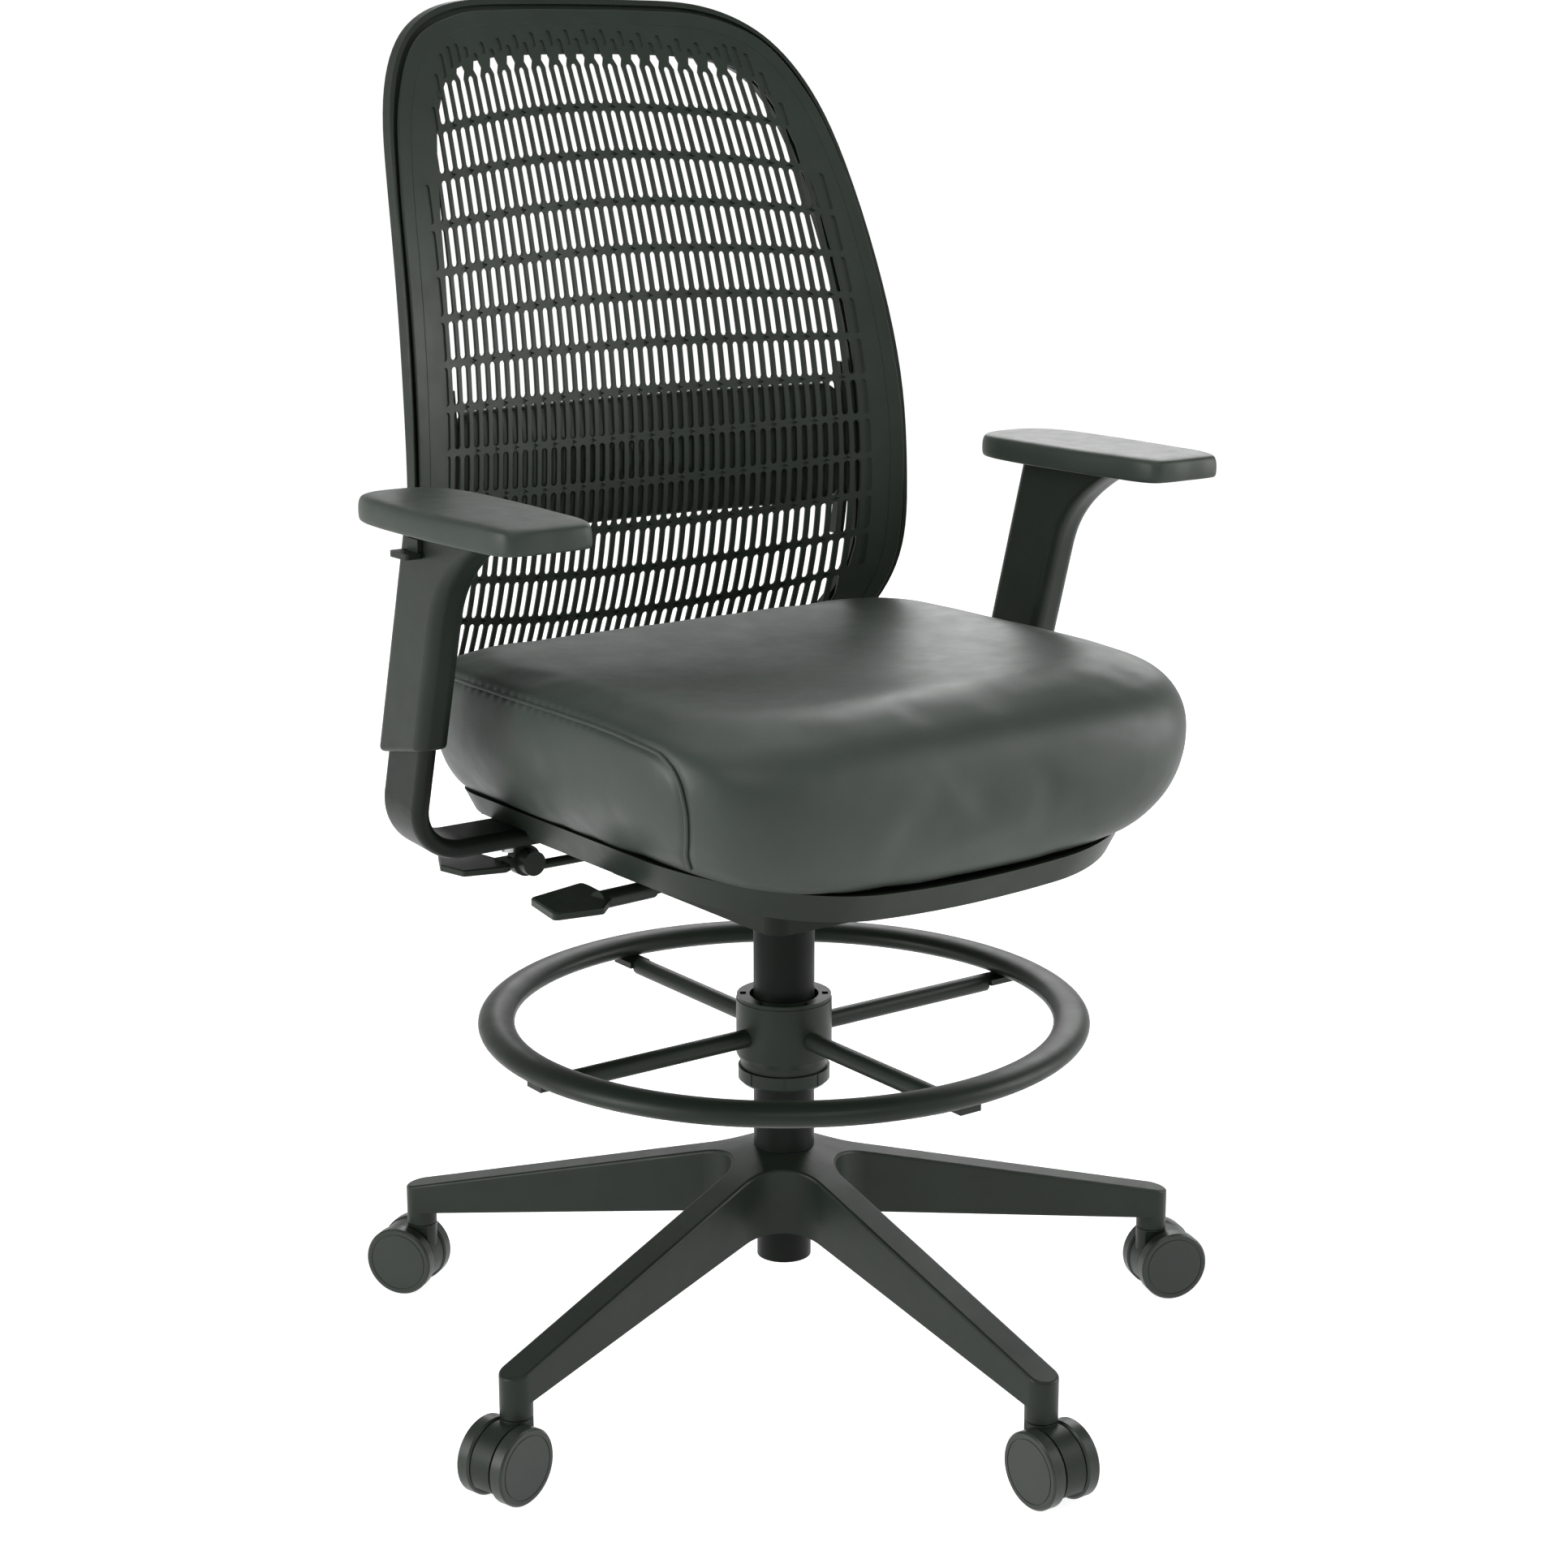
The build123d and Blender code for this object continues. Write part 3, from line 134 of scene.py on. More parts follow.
def rings_to_mesh(name, rings, cap_first=True, cap_last=True):
    """Join closed rings of equal length into one closed surface."""
    count = len(rings[0])
    points = [p for ring in rings for p in ring]
    faces = []
    for k in range(len(rings) - 1):
        for i in range(count):
            j = (i + 1) % count
            faces.append((k * count + i, k * count + j, (k + 1) * count + j, (k + 1) * count + i))
    if cap_first:
        points.append(np.mean(rings[0], axis=0))
        centre = len(points) - 1
        faces += [(centre, (i + 1) % count, i) for i in range(count)]
    if cap_last:
        points.append(np.mean(rings[-1], axis=0))
        centre = len(points) - 1
        base = (len(rings) - 1) * count
        faces += [(centre, base + i, base + (i + 1) % count) for i in range(count)]
    return mesh_object(name, points, faces)


def tube(name, path_mm, radius, sides=10, closed=False):
    """Round tube along a path in millimetres."""
    path = [Vector(p) for p in path_mm]
    count = len(path)
    rings = []
    for i, point in enumerate(path):
        before = path[i - 1] if (i or closed) else point
        after = path[(i + 1) % count] if (i < count - 1 or closed) else point
        along = (after - before).normalized()
        side = along.cross(Vector((0, 0, 1)))
        side = side.normalized() if side.length > 0.05 else along.cross(Vector((1, 0, 0))).normalized()
        up = side.cross(along)
        ring = []
        for k in range(sides):
            angle = 2 * math.pi * k / sides
            ring.append(point + side * (radius * math.cos(angle)) + up * (radius * math.sin(angle)))
        rings.append(ring)
    return rings_to_mesh(name, rings)


# ---- Materials ---------------------------------------------------------------

def new_material(name):
    """Empty node material with its shader and object coordinates."""
    material = bpy.data.materials.new(name)
    material.use_nodes = True
    tree = material.node_tree
    shader = tree.nodes["Principled BSDF"]
    coords = tree.nodes.new("ShaderNodeTexCoord").outputs["Object"]
    return material, tree, shader, coords


def noise(tree, coords, scale, detail=4.0, roughness=0.55):
    """Noise texture in object space, its scale in waves per metre."""
    node = tree.nodes.new("ShaderNodeTexNoise")
    node.inputs["Scale"].default_value = scale
    node.inputs["Detail"].default_value = detail
    node.inputs["Roughness"].default_value = roughness
    tree.links.new(coords, node.inputs["Vector"])
    return node.outputs["Fac"]


def spread(tree, value, low, high):
    """Map 0.3 to 0.7 onto low to high."""
    node = tree.nodes.new("ShaderNodeMapRange")
    node.inputs["From Min"].default_value = 0.3
    node.inputs["From Max"].default_value = 0.7
    node.inputs["To Min"].default_value = low
    node.inputs["To Max"].default_value = high
    tree.links.new(value, node.inputs["Value"])
    return node.outputs["Result"]


def tint(tree, shader, value, dark, light):
    """Colour that drifts between two near shades."""
    ramp = tree.nodes.new("ShaderNodeValToRGB")
    ramp.color_ramp.elements[0].position = 0.35
    ramp.color_ramp.elements[1].position = 0.65
    ramp.color_ramp.elements[0].color = (*dark, 1)
    ramp.color_ramp.elements[1].color = (*light, 1)
    tree.links.new(value, ramp.inputs["Fac"])
    tree.links.new(ramp.outputs["Color"], shader.inputs["Base Color"])


def bump(tree, shader, height, strength, distance_mm, normal=None):
    """Bump from a height value; further bumps stack on the one given."""
    node = tree.nodes.new("ShaderNodeBump")
    node.inputs["Strength"].default_value = strength
    node.inputs["Distance"].default_value = distance_mm * MM
    tree.links.new(height, node.inputs["Height"])
    if normal is not None:
        tree.links.new(normal, node.inputs["Normal"])
    tree.links.new(node.outputs["Normal"], shader.inputs["Normal"])
    return node.outputs["Normal"]


def shade(colour, factor):
    return tuple(c * factor for c in colour)


def textured(name, colour, rough, grain_scale, grain_mm, strength=0.5, drift=0.12, specular=0.2):
    """Moulded, coated or cast surface: fine grain, slow colour drift, uneven gloss."""
    material, tree, shader, coords = new_material(name)
    shader.inputs["Specular IOR Level"].default_value = specular
    slow = noise(tree, coords, 14, 3)
    tint(tree, shader, slow, shade(colour, 1 - drift), shade(colour, 1 + drift))
    patch = noise(tree, coords, 60, 4)
    tree.links.new(spread(tree, patch, rough - 0.03, rough + 0.03), shader.inputs["Roughness"])
    grain = noise(tree, coords, grain_scale, 3, 0.6)
    bump(tree, shader, grain, strength, grain_mm)
    return material


def vinyl(name, colour, rough):
    """Upholstery vinyl: pebbled grain over a slow waviness."""
    material, tree, shader, coords = new_material(name)
    shader.inputs["Specular IOR Level"].default_value = 0.3
    shader.inputs["Coat Weight"].default_value = 0.04
    shader.inputs["Coat Roughness"].default_value = 0.3
    slow = noise(tree, coords, 9, 4)
    tint(tree, shader, slow, shade(colour, 0.92), shade(colour, 1.08))
    patch = noise(tree, coords, 45, 5)
    tree.links.new(spread(tree, patch, rough - 0.035, rough + 0.035), shader.inputs["Roughness"])
    pebbles = tree.nodes.new("ShaderNodeTexVoronoi")
    pebbles.feature = "SMOOTH_F1"
    pebbles.inputs["Scale"].default_value = 850
    tree.links.new(coords, pebbles.inputs["Vector"])
    wavy = bump(tree, shader, noise(tree, coords, 26, 3), 0.25, 0.9)
    bump(tree, shader, pebbles.outputs["Distance"], 0.22, 0.12, wavy)
    return material


def brushed(name, colour, rough):
    """Turned or ground metal with fine streaks round the column's axis."""
    material, tree, shader, coords = new_material(name)
    shader.inputs["Metallic"].default_value = 1.0
    stretch = tree.nodes.new("ShaderNodeMapping")
    stretch.inputs["Scale"].default_value = (40, 40, 2600)
    tree.links.new(coords, stretch.inputs["Vector"])
    streaks = noise(tree, stretch.outputs["Vector"], 1.0, 3)
    tint(tree, shader, streaks, shade(colour, 0.92), shade(colour, 1.05))
    tree.links.new(spread(tree, streaks, rough - 0.04, rough + 0.05), shader.inputs["Roughness"])
    bump(tree, shader, streaks, 0.2, 0.02)
    return material


BLACK = (0.0100, 0.0145, 0.0105)
MATERIALS = {
    "plastic": textured("moulded_plastic", BLACK, 0.42, 2600, 0.04, specular=0.2),
    # shade: a darker copy of the moulded plastic, used as painted shade for the column tube under the seat
    # and for the seat board where it shows in gaps
    "shade": textured("painted_shade_plastic", (0.0045, 0.0058, 0.0048), 0.4, 2600, 0.04, specular=0.1),
    "back": textured("lattice_plastic", (0.0130, 0.0188, 0.0138), 0.44, 3000, 0.03, specular=0.2),
    "pad": textured("pad_urethane", (0.0205, 0.0280, 0.0220), 0.46, 1900, 0.05, 0.45, 0.06, specular=0.25),
    "coat": textured("powder_coat", (0.0062, 0.0088, 0.0066), 0.4, 1500, 0.05, 0.35, 0.06, specular=0.14),
    "nylon": textured("wheel_nylon", (0.0165, 0.0215, 0.0175), 0.36, 2800, 0.02, specular=0.3),
    "rubber": textured("spring_rubber", (0.012, 0.013, 0.0125), 0.7, 1800, 0.08, specular=0.2),
    "vinyl": vinyl("seat_vinyl", (0.0235, 0.0310, 0.0255), 0.47),
    "steel": brushed("ground_steel", (0.42, 0.42, 0.43), 0.3),
    "chrome": brushed("polished_chrome", (0.30, 0.31, 0.32), 0.14),
}
SLOT_MATERIAL = {
    "black_plastic": "plastic", "black_vinyl": "vinyl", "back_plastic": "back", "pad_urethane": "pad",
    # the plywood seat board takes the darker plastic as painted shade where it shows in gaps under the
    # cushion
    "black_steel": "coat", "bright_steel": "steel", "chrome": "chrome", "plywood": "shade",
    "wheel_nylon": "nylon", "spring_rubber": "rubber",
}
# the column tube takes the darker plastic as painted shade, for the shadow under the seat
NODE_MATERIAL = {"column_tube": "shade"}


def dress(piece, kind):
    """Give a piece one material."""
    piece.data.materials.clear()
    piece.data.materials.append(MATERIALS[kind])


def dress_frame(frame):
    """Swap each CAD node's plain material for the procedural one of its slot."""
    slots = {part["node"]: part["material_slot"] for part in frame["record"]["subparts"]}
    for name, node in frame["nodes"].items():
        for place in node.material_slots:
            place.material = MATERIALS[NODE_MATERIAL.get(name, SLOT_MATERIAL[slots[name]])]


# ---- Back shell --------------------------------------------------------------

def back_y(x, z):
    """Depth of the back's front face."""
    t = (z - 850) / 100
    u = (x / 100) ** 2
    lumbar = 200.5 + 22.0 * t + 7.96 * t ** 2 - 0.595 * t ** 3 + 0.12 * t ** 4
    hollow = (-7.72 + 0.1 * t) * u + 0.63 * u ** 2
    wings = (0.0962 - 0.0351 * t) * (3.09 * u ** 2 - u ** 3)
    return lumbar + hollow + wings


def back_normal(x, z):
    """Unit normal of the front face, towards the sitter."""
    step = 0.5
    slope_x = (back_y(x + step, z) - back_y(x - step, z)) / (2 * step)
    slope_z = (back_y(x, z + step) - back_y(x, z - step)) / (2 * step)
    return Vector((slope_x, -1, slope_z)).normalized()


def shell_outline():
    """Closed outline of the back shell, as x and z."""
    half = [
        (0, BACK_TOP), (66, BACK_TOP - 0.7), (121, BACK_TOP - 5), (169, 1061), (199.5, 1016), (216.5, 955),
        (228, 870), (237, 770), (240, 690), (237, 600), (201, 527), (100, BACK_BOTTOM + 3), (0, BACK_BOTTOM),
    ]
    loop = half + [(-x, z) for x, z in reversed(half[1:-1])]
    return smooth_curve(loop, 14, closed=True)


def inset(loop, distance):
    """Move a closed clockwise outline inwards."""
    before = np.roll(loop, 1, axis=0)
    after = np.roll(loop, -1, axis=0)
    along = after - before
    along /= np.linalg.norm(along, axis=1)[:, None]
    return loop + distance * np.stack([along[:, 1], -along[:, 0]], axis=1)


def edge_distance(points, outline):
    """Distance from each point to the outline, positive inside it."""
    points = np.atleast_2d(points)
    a = outline
    b = np.roll(outline, -1, axis=0)
    ab = b - a
    ap = points[:, None, :] - a[None]
    share = np.clip((ap * ab).sum(-1) / (ab * ab).sum(-1), 0, 1)
    gap = np.linalg.norm(ap - share[..., None] * ab, axis=-1)
    crosses = ((a[None, :, 1] > points[:, None, 1]) != (b[None, :, 1] > points[:, None, 1]))
    rise = np.where(b[:, 1] == a[:, 1], 1e-9, b[:, 1] - a[:, 1])
    at = a[None, :, 0] + (points[:, None, 1] - a[None, :, 1]) / rise * ab[None, :, 0]
    inside = (crosses & (points[:, None, 0] < at)).sum(1) % 2 == 1
    return np.where(inside, gap.min(1), -gap.min(1))


def column_x(column, z):
    t = (z - 850) / 100
    return column * (9.589 - 0.305 * t - 0.034 * t * t)


def fanned_z(x, z):
    """Height on a row whose height at the middle is z."""
    t = (z - 850) / 100
    return z + (-1.68 - 2.36 * t) * (x / 100) ** 2


def lattice_point(column, across, z):
    """Point of the lattice in a column's own lines: across in mm, z as at the middle column."""
    x = column_x(column, z) + across
    return x, fanned_z(x, z)


def slot_loop(column, low, high, width, segments=4):
    """Rounded slot in one column, from low to high, as a closed clockwise loop."""
    r = width / 2
    loop = []
    for k in range(segments + 1):
        angle = math.pi - math.pi * k / segments
        loop.append((r * math.cos(angle), high - r + r * math.sin(angle)))
    middle = [low + r + (high - low - 2 * r) * share for share in (2 / 3, 1 / 3)]
    loop += [(r, z) for z in middle]
    for k in range(segments + 1):
        angle = -math.pi * k / segments
        loop.append((r * math.cos(angle), low + r + r * math.sin(angle)))
    loop += [(-r, z) for z in reversed(middle)]
    return np.array([lattice_point(column, across, z) for across, z in loop])


def notch_loop(column, low, star, top, width, grow):
    """Slot that runs up through a star-shaped notch to a flat top."""
    r = width / 2
    g = grow
    shape = [
        (-r, top + g), (r, top + g), (r, star + 6), (4.6 + g, star), (r, star - 4.5), (r - 0.5, star - 6),
        (r, star - 12), (r, (star + low) / 2),
    ]
    for k in range(5):
        angle = -math.pi * k / 4
        shape.append((r * math.cos(angle), low + r + r * math.sin(angle)))
    shape += [
        (-r, (star + low) / 2), (-r, star - 12), (-r + 0.5, star - 6), (-r, star - 4.5), (-4.6 - g, star),
        (-r, star + 6),
    ]
    return np.array([lattice_point(column, across, z) for across, z in shape])


def star_loop(column, z, size):
    """Small four-pointed star between two slots."""
    wide, tall, waist = 4.4 * size, 2.3 * size, 1.25 * size
    shape = [
        (-wide, 0), (-waist, waist), (0, tall), (waist, waist), (wide, 0), (waist, -waist), (0, -tall),
        (-waist, -waist),
    ]
    return np.array([lattice_point(column, across, z + rise) for across, rise in shape])


def clip_to_field(loop, outline, margin):
    """Keep the part of a loop that lies further than margin inside the outline."""
    value = edge_distance(loop, outline) - margin
    kept = []
    for i in range(len(loop)):
        j = (i + 1) % len(loop)
        if value[i] >= 0:
            kept.append(loop[i])
        if (value[i] >= 0) != (value[j] >= 0):
            share = value[i] / (value[i] - value[j])
            kept.append(loop[i] + share * (loop[j] - loop[i]))
    cleaned = [p for i, p in enumerate(kept) if np.linalg.norm(p - kept[i - 1]) > 0.15]
    return np.array(cleaned)


class Shell:
    """Collects the loops of the back shell, each with its depth below the face."""

    def __init__(self):
        self.points = []
        self.depths = []
        self.loops = []
        self.holes = []

    def add_loop(self, loop, depth, hole=False):
        start = len(self.points)
        self.points += [tuple(p) for p in loop]
        self.depths += [depth] * len(loop)
        self.loops.append(list(reversed(range(start, len(self.points)))))
        self.holes.append(hole)

    def add_free(self, points, depth=0.0):
        self.points += [tuple(p) for p in points]
        self.depths += [depth] * len(points)


def lattice_slots(shell, outline):
    """The see-through slots, the star notches of the top row, and the star recesses between rows."""
    for row in ROWS:
        middle = ROW_ZERO_Z - ROW_PITCH * row
        low = middle - SLOT_LENGTH / 2
        high = middle + SLOT_LENGTH / 2
        for column in range(-COLUMNS, COLUMNS + 1):
            odd = (row + column) % 2 == 0
            notched = row == ROWS[0] and odd and abs(column) < NOTCHED_COLUMNS
            wide = SLOT_WIDTH + 2 * SLOT_ROUNDING
            if notched:
                star_z = high + NOTCH_RISE
                top = max(star_z + NOTCH_SHOULDER, NOTCH_TOP - 11 * (column / 14) ** 2)
                rim = notch_loop(column, low - SLOT_ROUNDING, star_z, top, wide, 0.4)
                hole = notch_loop(column, low, star_z, top, SLOT_WIDTH, 0)
            else:
                rim = slot_loop(column, low - SLOT_ROUNDING, high + SLOT_ROUNDING, wide)
                hole = slot_loop(column, low, high, SLOT_WIDTH)
            rim = clip_to_field(rim, outline, FIELD_MARGIN - SLOT_ROUNDING)
            hole = clip_to_field(hole, outline, FIELD_MARGIN)
            tall = len(hole) > 3 and np.ptp(hole[:, 1]) > 5
            if tall:
                shell.add_loop(rim, 0.0)
                shell.add_loop(hole, 0.5, hole=True)
            junction = middle - ROW_PITCH / 2
            star = star_loop(column, junction, 1.0)
            clear = edge_distance(star, outline).min() > FIELD_MARGIN + 1
            if odd and clear and row != ROWS[-1]:
                shell.add_loop(star, 0.0)
                shell.add_loop(star_loop(column, junction, 0.75), STAR_DEPTH)


def blind_slots(shell, outline):
    """Shallow slot outlines moulded round the edge of the see-through field."""

    def put(column, low, top):
        rim = slot_loop(column, low - BLIND_ROUNDING, top + BLIND_ROUNDING, BLIND_WIDTH + 2 * BLIND_ROUNDING)
        if edge_distance(rim, outline).min() >= INSET_LINE + 4:
            shell.add_loop(rim, 0.0)
            shell.add_loop(slot_loop(column, low, top, BLIND_WIDTH), BLIND_DEPTH)

    # over the top row: a tall one over each notch, a lower one between
    for column in range(-14, 15):
        tall = column % 2 == 0
        low = 1057.0 if tall else 1048.6
        top = (1070 if tall else 1063) - 4 * (column / 14) ** 2
        put(column, low, top)
    # round the upper corners, following the edge
    heights = np.arange(1070, 960, -0.5)
    for column in [side * k for k in range(15, COLUMNS) for side in (-1, 1)]:
        gaps = edge_distance([lattice_point(column, 0, z) for z in heights], outline)
        low = heights[np.argmax(gaps > FIELD_MARGIN)] + 3
        top = min(low + 20, heights[np.argmax(gaps > INSET_LINE + 7)])
        if top - low > 9:
            put(column, low, top)
    # down the sides, one to a row
    for row in range(1, 11):
        middle = ROW_ZERO_Z - ROW_PITCH * row
        for side in (-1, 1):
            put(side * (COLUMNS + 1.0), middle - SLOT_LENGTH / 2, middle + SLOT_LENGTH / 2)


def free_points(shell, outline, spacing=13.0):
    """Extra points over the plain border, so that the curved face stays smooth."""
    used = np.array(shell.points)
    found = []
    for z in np.arange(BACK_BOTTOM, BACK_TOP, spacing):
        for x in np.arange(-260, 260, spacing):
            found.append((x, z))
    found = np.array(found)
    inside = edge_distance(found, outline)
    found = found[inside > INSET_LINE + 4]
    kept = [p for p in found if np.min(np.hypot(*(used - p).T)) > 5.5]
    shell.add_free(kept)


def make_back_skin():
    """The lattice shell: cut out flat, bent to the back's curves and given its thickness."""
    outline = shell_outline()
    shell = Shell()
    shell.add_loop(outline, 0.9)
    shell.add_loop(inset(outline, 1.0), 0.0)
    for offset, depth in ((INSET_LINE - 0.35, 0.0), (INSET_LINE, 0.45), (INSET_LINE + 0.35, 0.0)):
        shell.add_loop(inset(outline, offset), depth)
    lattice_slots(shell, outline)
    blind_slots(shell, outline)
    free_points(shell, outline)

    flat = [Vector(p) for p in shell.points]
    result = geometry.delaunay_2d_cdt(flat, [], shell.loops, 0, 1e-4, True)
    places, _, triangles, origins, _, owners = result
    depth = np.zeros(len(places))
    for i, source in enumerate(origins):
        depth[i] = max((shell.depths[s] for s in source), default=0.0)
    front = []
    rear = []
    for place, sink in zip(places, depth):
        surface = Vector((place.x, back_y(place.x, place.y), place.y))
        front.append(surface + Vector((0, sink, 0)))
        rear.append(surface + Vector((0, SKIN_THICKNESS, 0)))
    solid = []
    for triangle, owner in zip(triangles, owners):
        if 0 in owner and not any(shell.holes[o] for o in owner):
            solid.append(tuple(triangle))
    count = len(front)
    faces = []
    borders = {}
    for a, b, c in solid:
        facing = (places[b] - places[a]).cross(places[c] - places[a])
        if facing < 0:
            b, c = c, b
        faces.append((a, b, c))
        for edge in ((a, b), (b, c), (c, a)):
            borders[edge] = borders.get(edge, 0) + 1
    walls = [edge for edge in borders if (edge[1], edge[0]) not in borders]
    back_faces = [(c + count, b + count, a + count) for a, b, c in faces]
    wall_faces = [(b, a, a + count, b + count) for a, b in walls]
    piece = mesh_object("back_lattice", front + rear, faces + back_faces + wall_faces, smooth=True)
    set_shell_normals(piece, len(faces), len(back_faces), depth)
    dress(piece, "back")
    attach(piece, "back")
    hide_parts("back_skin")


def set_shell_normals(piece, front_count, back_count, depth):
    """Shade the face by its true curve, and each cut edge as a small round."""
    mesh = piece.data
    count = len(depth)
    normals = [None] * len(mesh.loops)
    for number, polygon in enumerate(mesh.polygons):
        for loop in polygon.loop_indices:
            vertex = mesh.loops[loop].vertex_index
            x, _, z = mesh.vertices[vertex].co / MM
            if number >= front_count + back_count:
                normals[loop] = polygon.normal.copy()
            elif number >= front_count:
                normals[loop] = -back_normal(x, z)
            elif depth[vertex % count] > 0:
                normals[loop] = (polygon.normal + back_normal(x, z) * 0.2).normalized()
            else:
                normals[loop] = back_normal(x, z)
    mesh.normals_split_custom_set(normals)


# ---- Cushion, pads -----------------------------------------------------------

def blended(values, share):
    """Value along a short list, by a smooth curve."""
    curve = smooth_curve([(k, v) for k, v in enumerate(values)], 8)
    return np.interp(share * (len(values) - 1), curve[:, 0], curve[:, 1])


CUSHION_LEVELS = 15
CUSHION_HALF_WIDTH = [215.5, 224, 236, 244, 249, 251, 250.5, 247, 238, 222]
CUSHION_SIDE_Z = [480.5, 488, 505, 525, 545, 562, 576, 586, 591, 592]
CUSHION_FRONT = [239.5, 247, 256, 261, 263, 262, 255, 241, 217, 186]
CUSHION_FRONT_Z = [457.8, 466, 484, 503, 524, 545, 563, 577, 586, 590]
CUSHION_REAR = [189.5, 193, 198, 201, 203, 203, 200, 194, 183, 165]
CUSHION_REAR_Z = [458, 468, 490, 512, 534, 553, 567, 578, 585, 588]
FRONT_SQUARENESS = [4.2, 4.8, 5.6, 6.0, 6.0, 5.8, 5.4, 5.0, 4.6, 4.2]
REAR_SQUARENESS = [6.0, 6.0, 5.8, 5.5, 5.2, 5.0, 5.0, 5.0, 5.0, 5.0]


def cushion_top(x, y):
    """Height of the seat's top: dished across, falling a little to the rear."""
    across = abs(x) / 225
    return 582.5 + 8.0 * across ** 2.2 + 3.0 * math.exp(-((y + 175) / 60) ** 2)


def cushion_ring(share, around=120):
    """One level of the cushion, from its foot at share 0 to its upper rim at 1."""
    half = blended(CUSHION_HALF_WIDTH, share)
    side_z = blended(CUSHION_SIDE_Z, share)
    ring = []
    for k in range(around):
        angle = 2 * math.pi * k / around
        c, s = math.cos(angle), math.sin(angle)
        front = s < 0
        reach = blended(CUSHION_FRONT if front else CUSHION_REAR, share)
        end_z = blended(CUSHION_FRONT_Z if front else CUSHION_REAR_Z, share)
        power = 2 / blended(FRONT_SQUARENESS if front else REAR_SQUARENESS, share)
        x = half * math.copysign(abs(c) ** power, c)
        y = reach * math.copysign(abs(s) ** power, s)
        weight = min(1.0, abs(s)) ** 2.2
        z = side_z * (1 - weight) + end_z * weight
        ring.append(Vector((x, y, z)))
    return ring


def make_cushion_form():
    """Closed form of the cushion before it is puffed up."""
    rings = [cushion_ring(k / CUSHION_LEVELS) for k in range(CUSHION_LEVELS + 1)]
    for ring in rings[:2]:
        for p in ring:
            p.z = max(p.z, SEAT_LINE_Z + 0.6 + p.x ** 2 / (2 * SEAT_ARC) - 1)
    rim = rings[-1]
    for scale in (0.9, 0.78, 0.64, 0.48, 0.3, 0.12):
        ring = []
        for p in rim:
            x, y = p.x * scale, -10 + (p.y + 10) * scale
            settle = min(1.0, (1 - scale) / 0.3)
            z = p.z * (1 - settle) + cushion_top(x, y) * settle
            ring.append(Vector((x, y, z)))
        rings.append(ring)
    under = []
    for scale in (0.35, 0.7, 0.93):
        ring = [Vector((p.x * scale, p.y * scale, 0)) for p in rings[0]]
        for p in ring:
            p.z = SEAT_LINE_Z + 0.6 + p.x ** 2 / (2 * SEAT_ARC)
        under.append(ring)
    return rings_to_mesh("seat_cushion_cover", under + rings)


def puff(piece, pressure, cap_mm, voxel_mm=5.0, frames=20):
    """Fill a closed form like a stuffed cover, then hold every point within the cap."""
    remesh = piece.modifiers.new("voxels", "REMESH")
    remesh.mode = "VOXEL"
    remesh.voxel_size = voxel_mm * MM
    apply_modifiers(piece)
    start = np.array([v.co[:] for v in piece.data.vertices])
    cloth = piece.modifiers.new("cloth", "CLOTH")
    cloth.settings.use_pressure = True
    cloth.settings.uniform_pressure_force = pressure
    cloth.settings.effector_weights.gravity = 0
    cloth.point_cache.frame_start = 1
    cloth.point_cache.frame_end = frames
    for frame_number in range(1, frames + 1):
        bpy.context.scene.frame_set(frame_number)
    apply_modifiers(piece)
    bpy.context.scene.frame_set(1)
    moved = np.array([v.co[:] for v in piece.data.vertices]) - start
    length = np.linalg.norm(moved, axis=1)
    limit = cap_mm * MM
    factor = limit * np.tanh(length / limit) / np.maximum(length, 1e-9)
    for vertex, origin, shift in zip(piece.data.vertices, start, moved * factor[:, None]):
        vertex.co = Vector(origin + shift)


def smooth_mesh(piece, factor=0.5, repeat=6):
    relax = piece.modifiers.new("relax", "SMOOTH")
    relax.factor = factor
    relax.iterations = repeat
    apply_modifiers(piece)


def keep_above_pan(piece):
    """Rest the cushion's underside on the dished line of the pan."""
    for vertex in piece.data.vertices:
        x = vertex.co.x / MM
        floor = (SEAT_LINE_Z + 0.5 + x * x / (2 * SEAT_ARC)) * MM
        vertex.co.z = max(vertex.co.z, floor)


SEAM = [
    # on the sitter's left side, from the front corner's foot round to the rear
    (215, -178, 484), (225, -188, 498), (231, -198, 513), (236, -204, 528), (238, -205, 541),
    (241, -199, 561), (242, -180, 575), (246, -147, 581), (247, -108, 584), (248, -15, 584),
    (247, 88, 584), (241, 145, 583), (222, 180, 580), (178, 193, 578), (90, 199, 578),
]


def make_piping(cushion):
    """Sewn welt from one front corner, along the sides and round the rear."""
    tree = BVHTree.FromObject(cushion, bpy.context.evaluated_depsgraph_get())
    right = [(-x, y, z) for x, y, z in SEAM]
    path = smooth_curve(right + [(0, 200, 578)] + SEAM[::-1], 9)
    resting = []
    for point in path:
        place, normal, _, _ = tree.find_nearest(Vector(point) * MM)
        resting.append(place / MM - normal * 0.5)
    piece = tube("seat_piping", resting, PIPING_RADIUS)
    dress(piece, "vinyl")
    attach(piece, "seat")
    press_seam(cushion, resting)


def press_seam(cushion, path, width=7.0, depth=1.5):
    """Pull the cover in along the welt."""
    places = np.array([p[:] for p in path])
    for vertex in cushion.data.vertices:
        gap = np.min(np.linalg.norm(places - np.array(vertex.co[:]) / MM, axis=1))
        if gap < width:
            vertex.co -= vertex.normal * (depth * math.cos(gap / width * math.pi / 2) ** 2 * MM)


def make_cushion():
    cushion = make_cushion_form()
    puff(cushion, 4.0, 4.0)
    smooth_mesh(cushion, 0.5, 18)
    keep_above_pan(cushion)
    finer = cushion.modifiers.new("finer", "SUBSURF")
    finer.levels = 1
    apply_modifiers(cushion)
    cushion.data.shade_smooth()
    dress(cushion, "vinyl")
    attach(cushion, "seat")
    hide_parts("seat_cushion")
    make_piping(cushion)


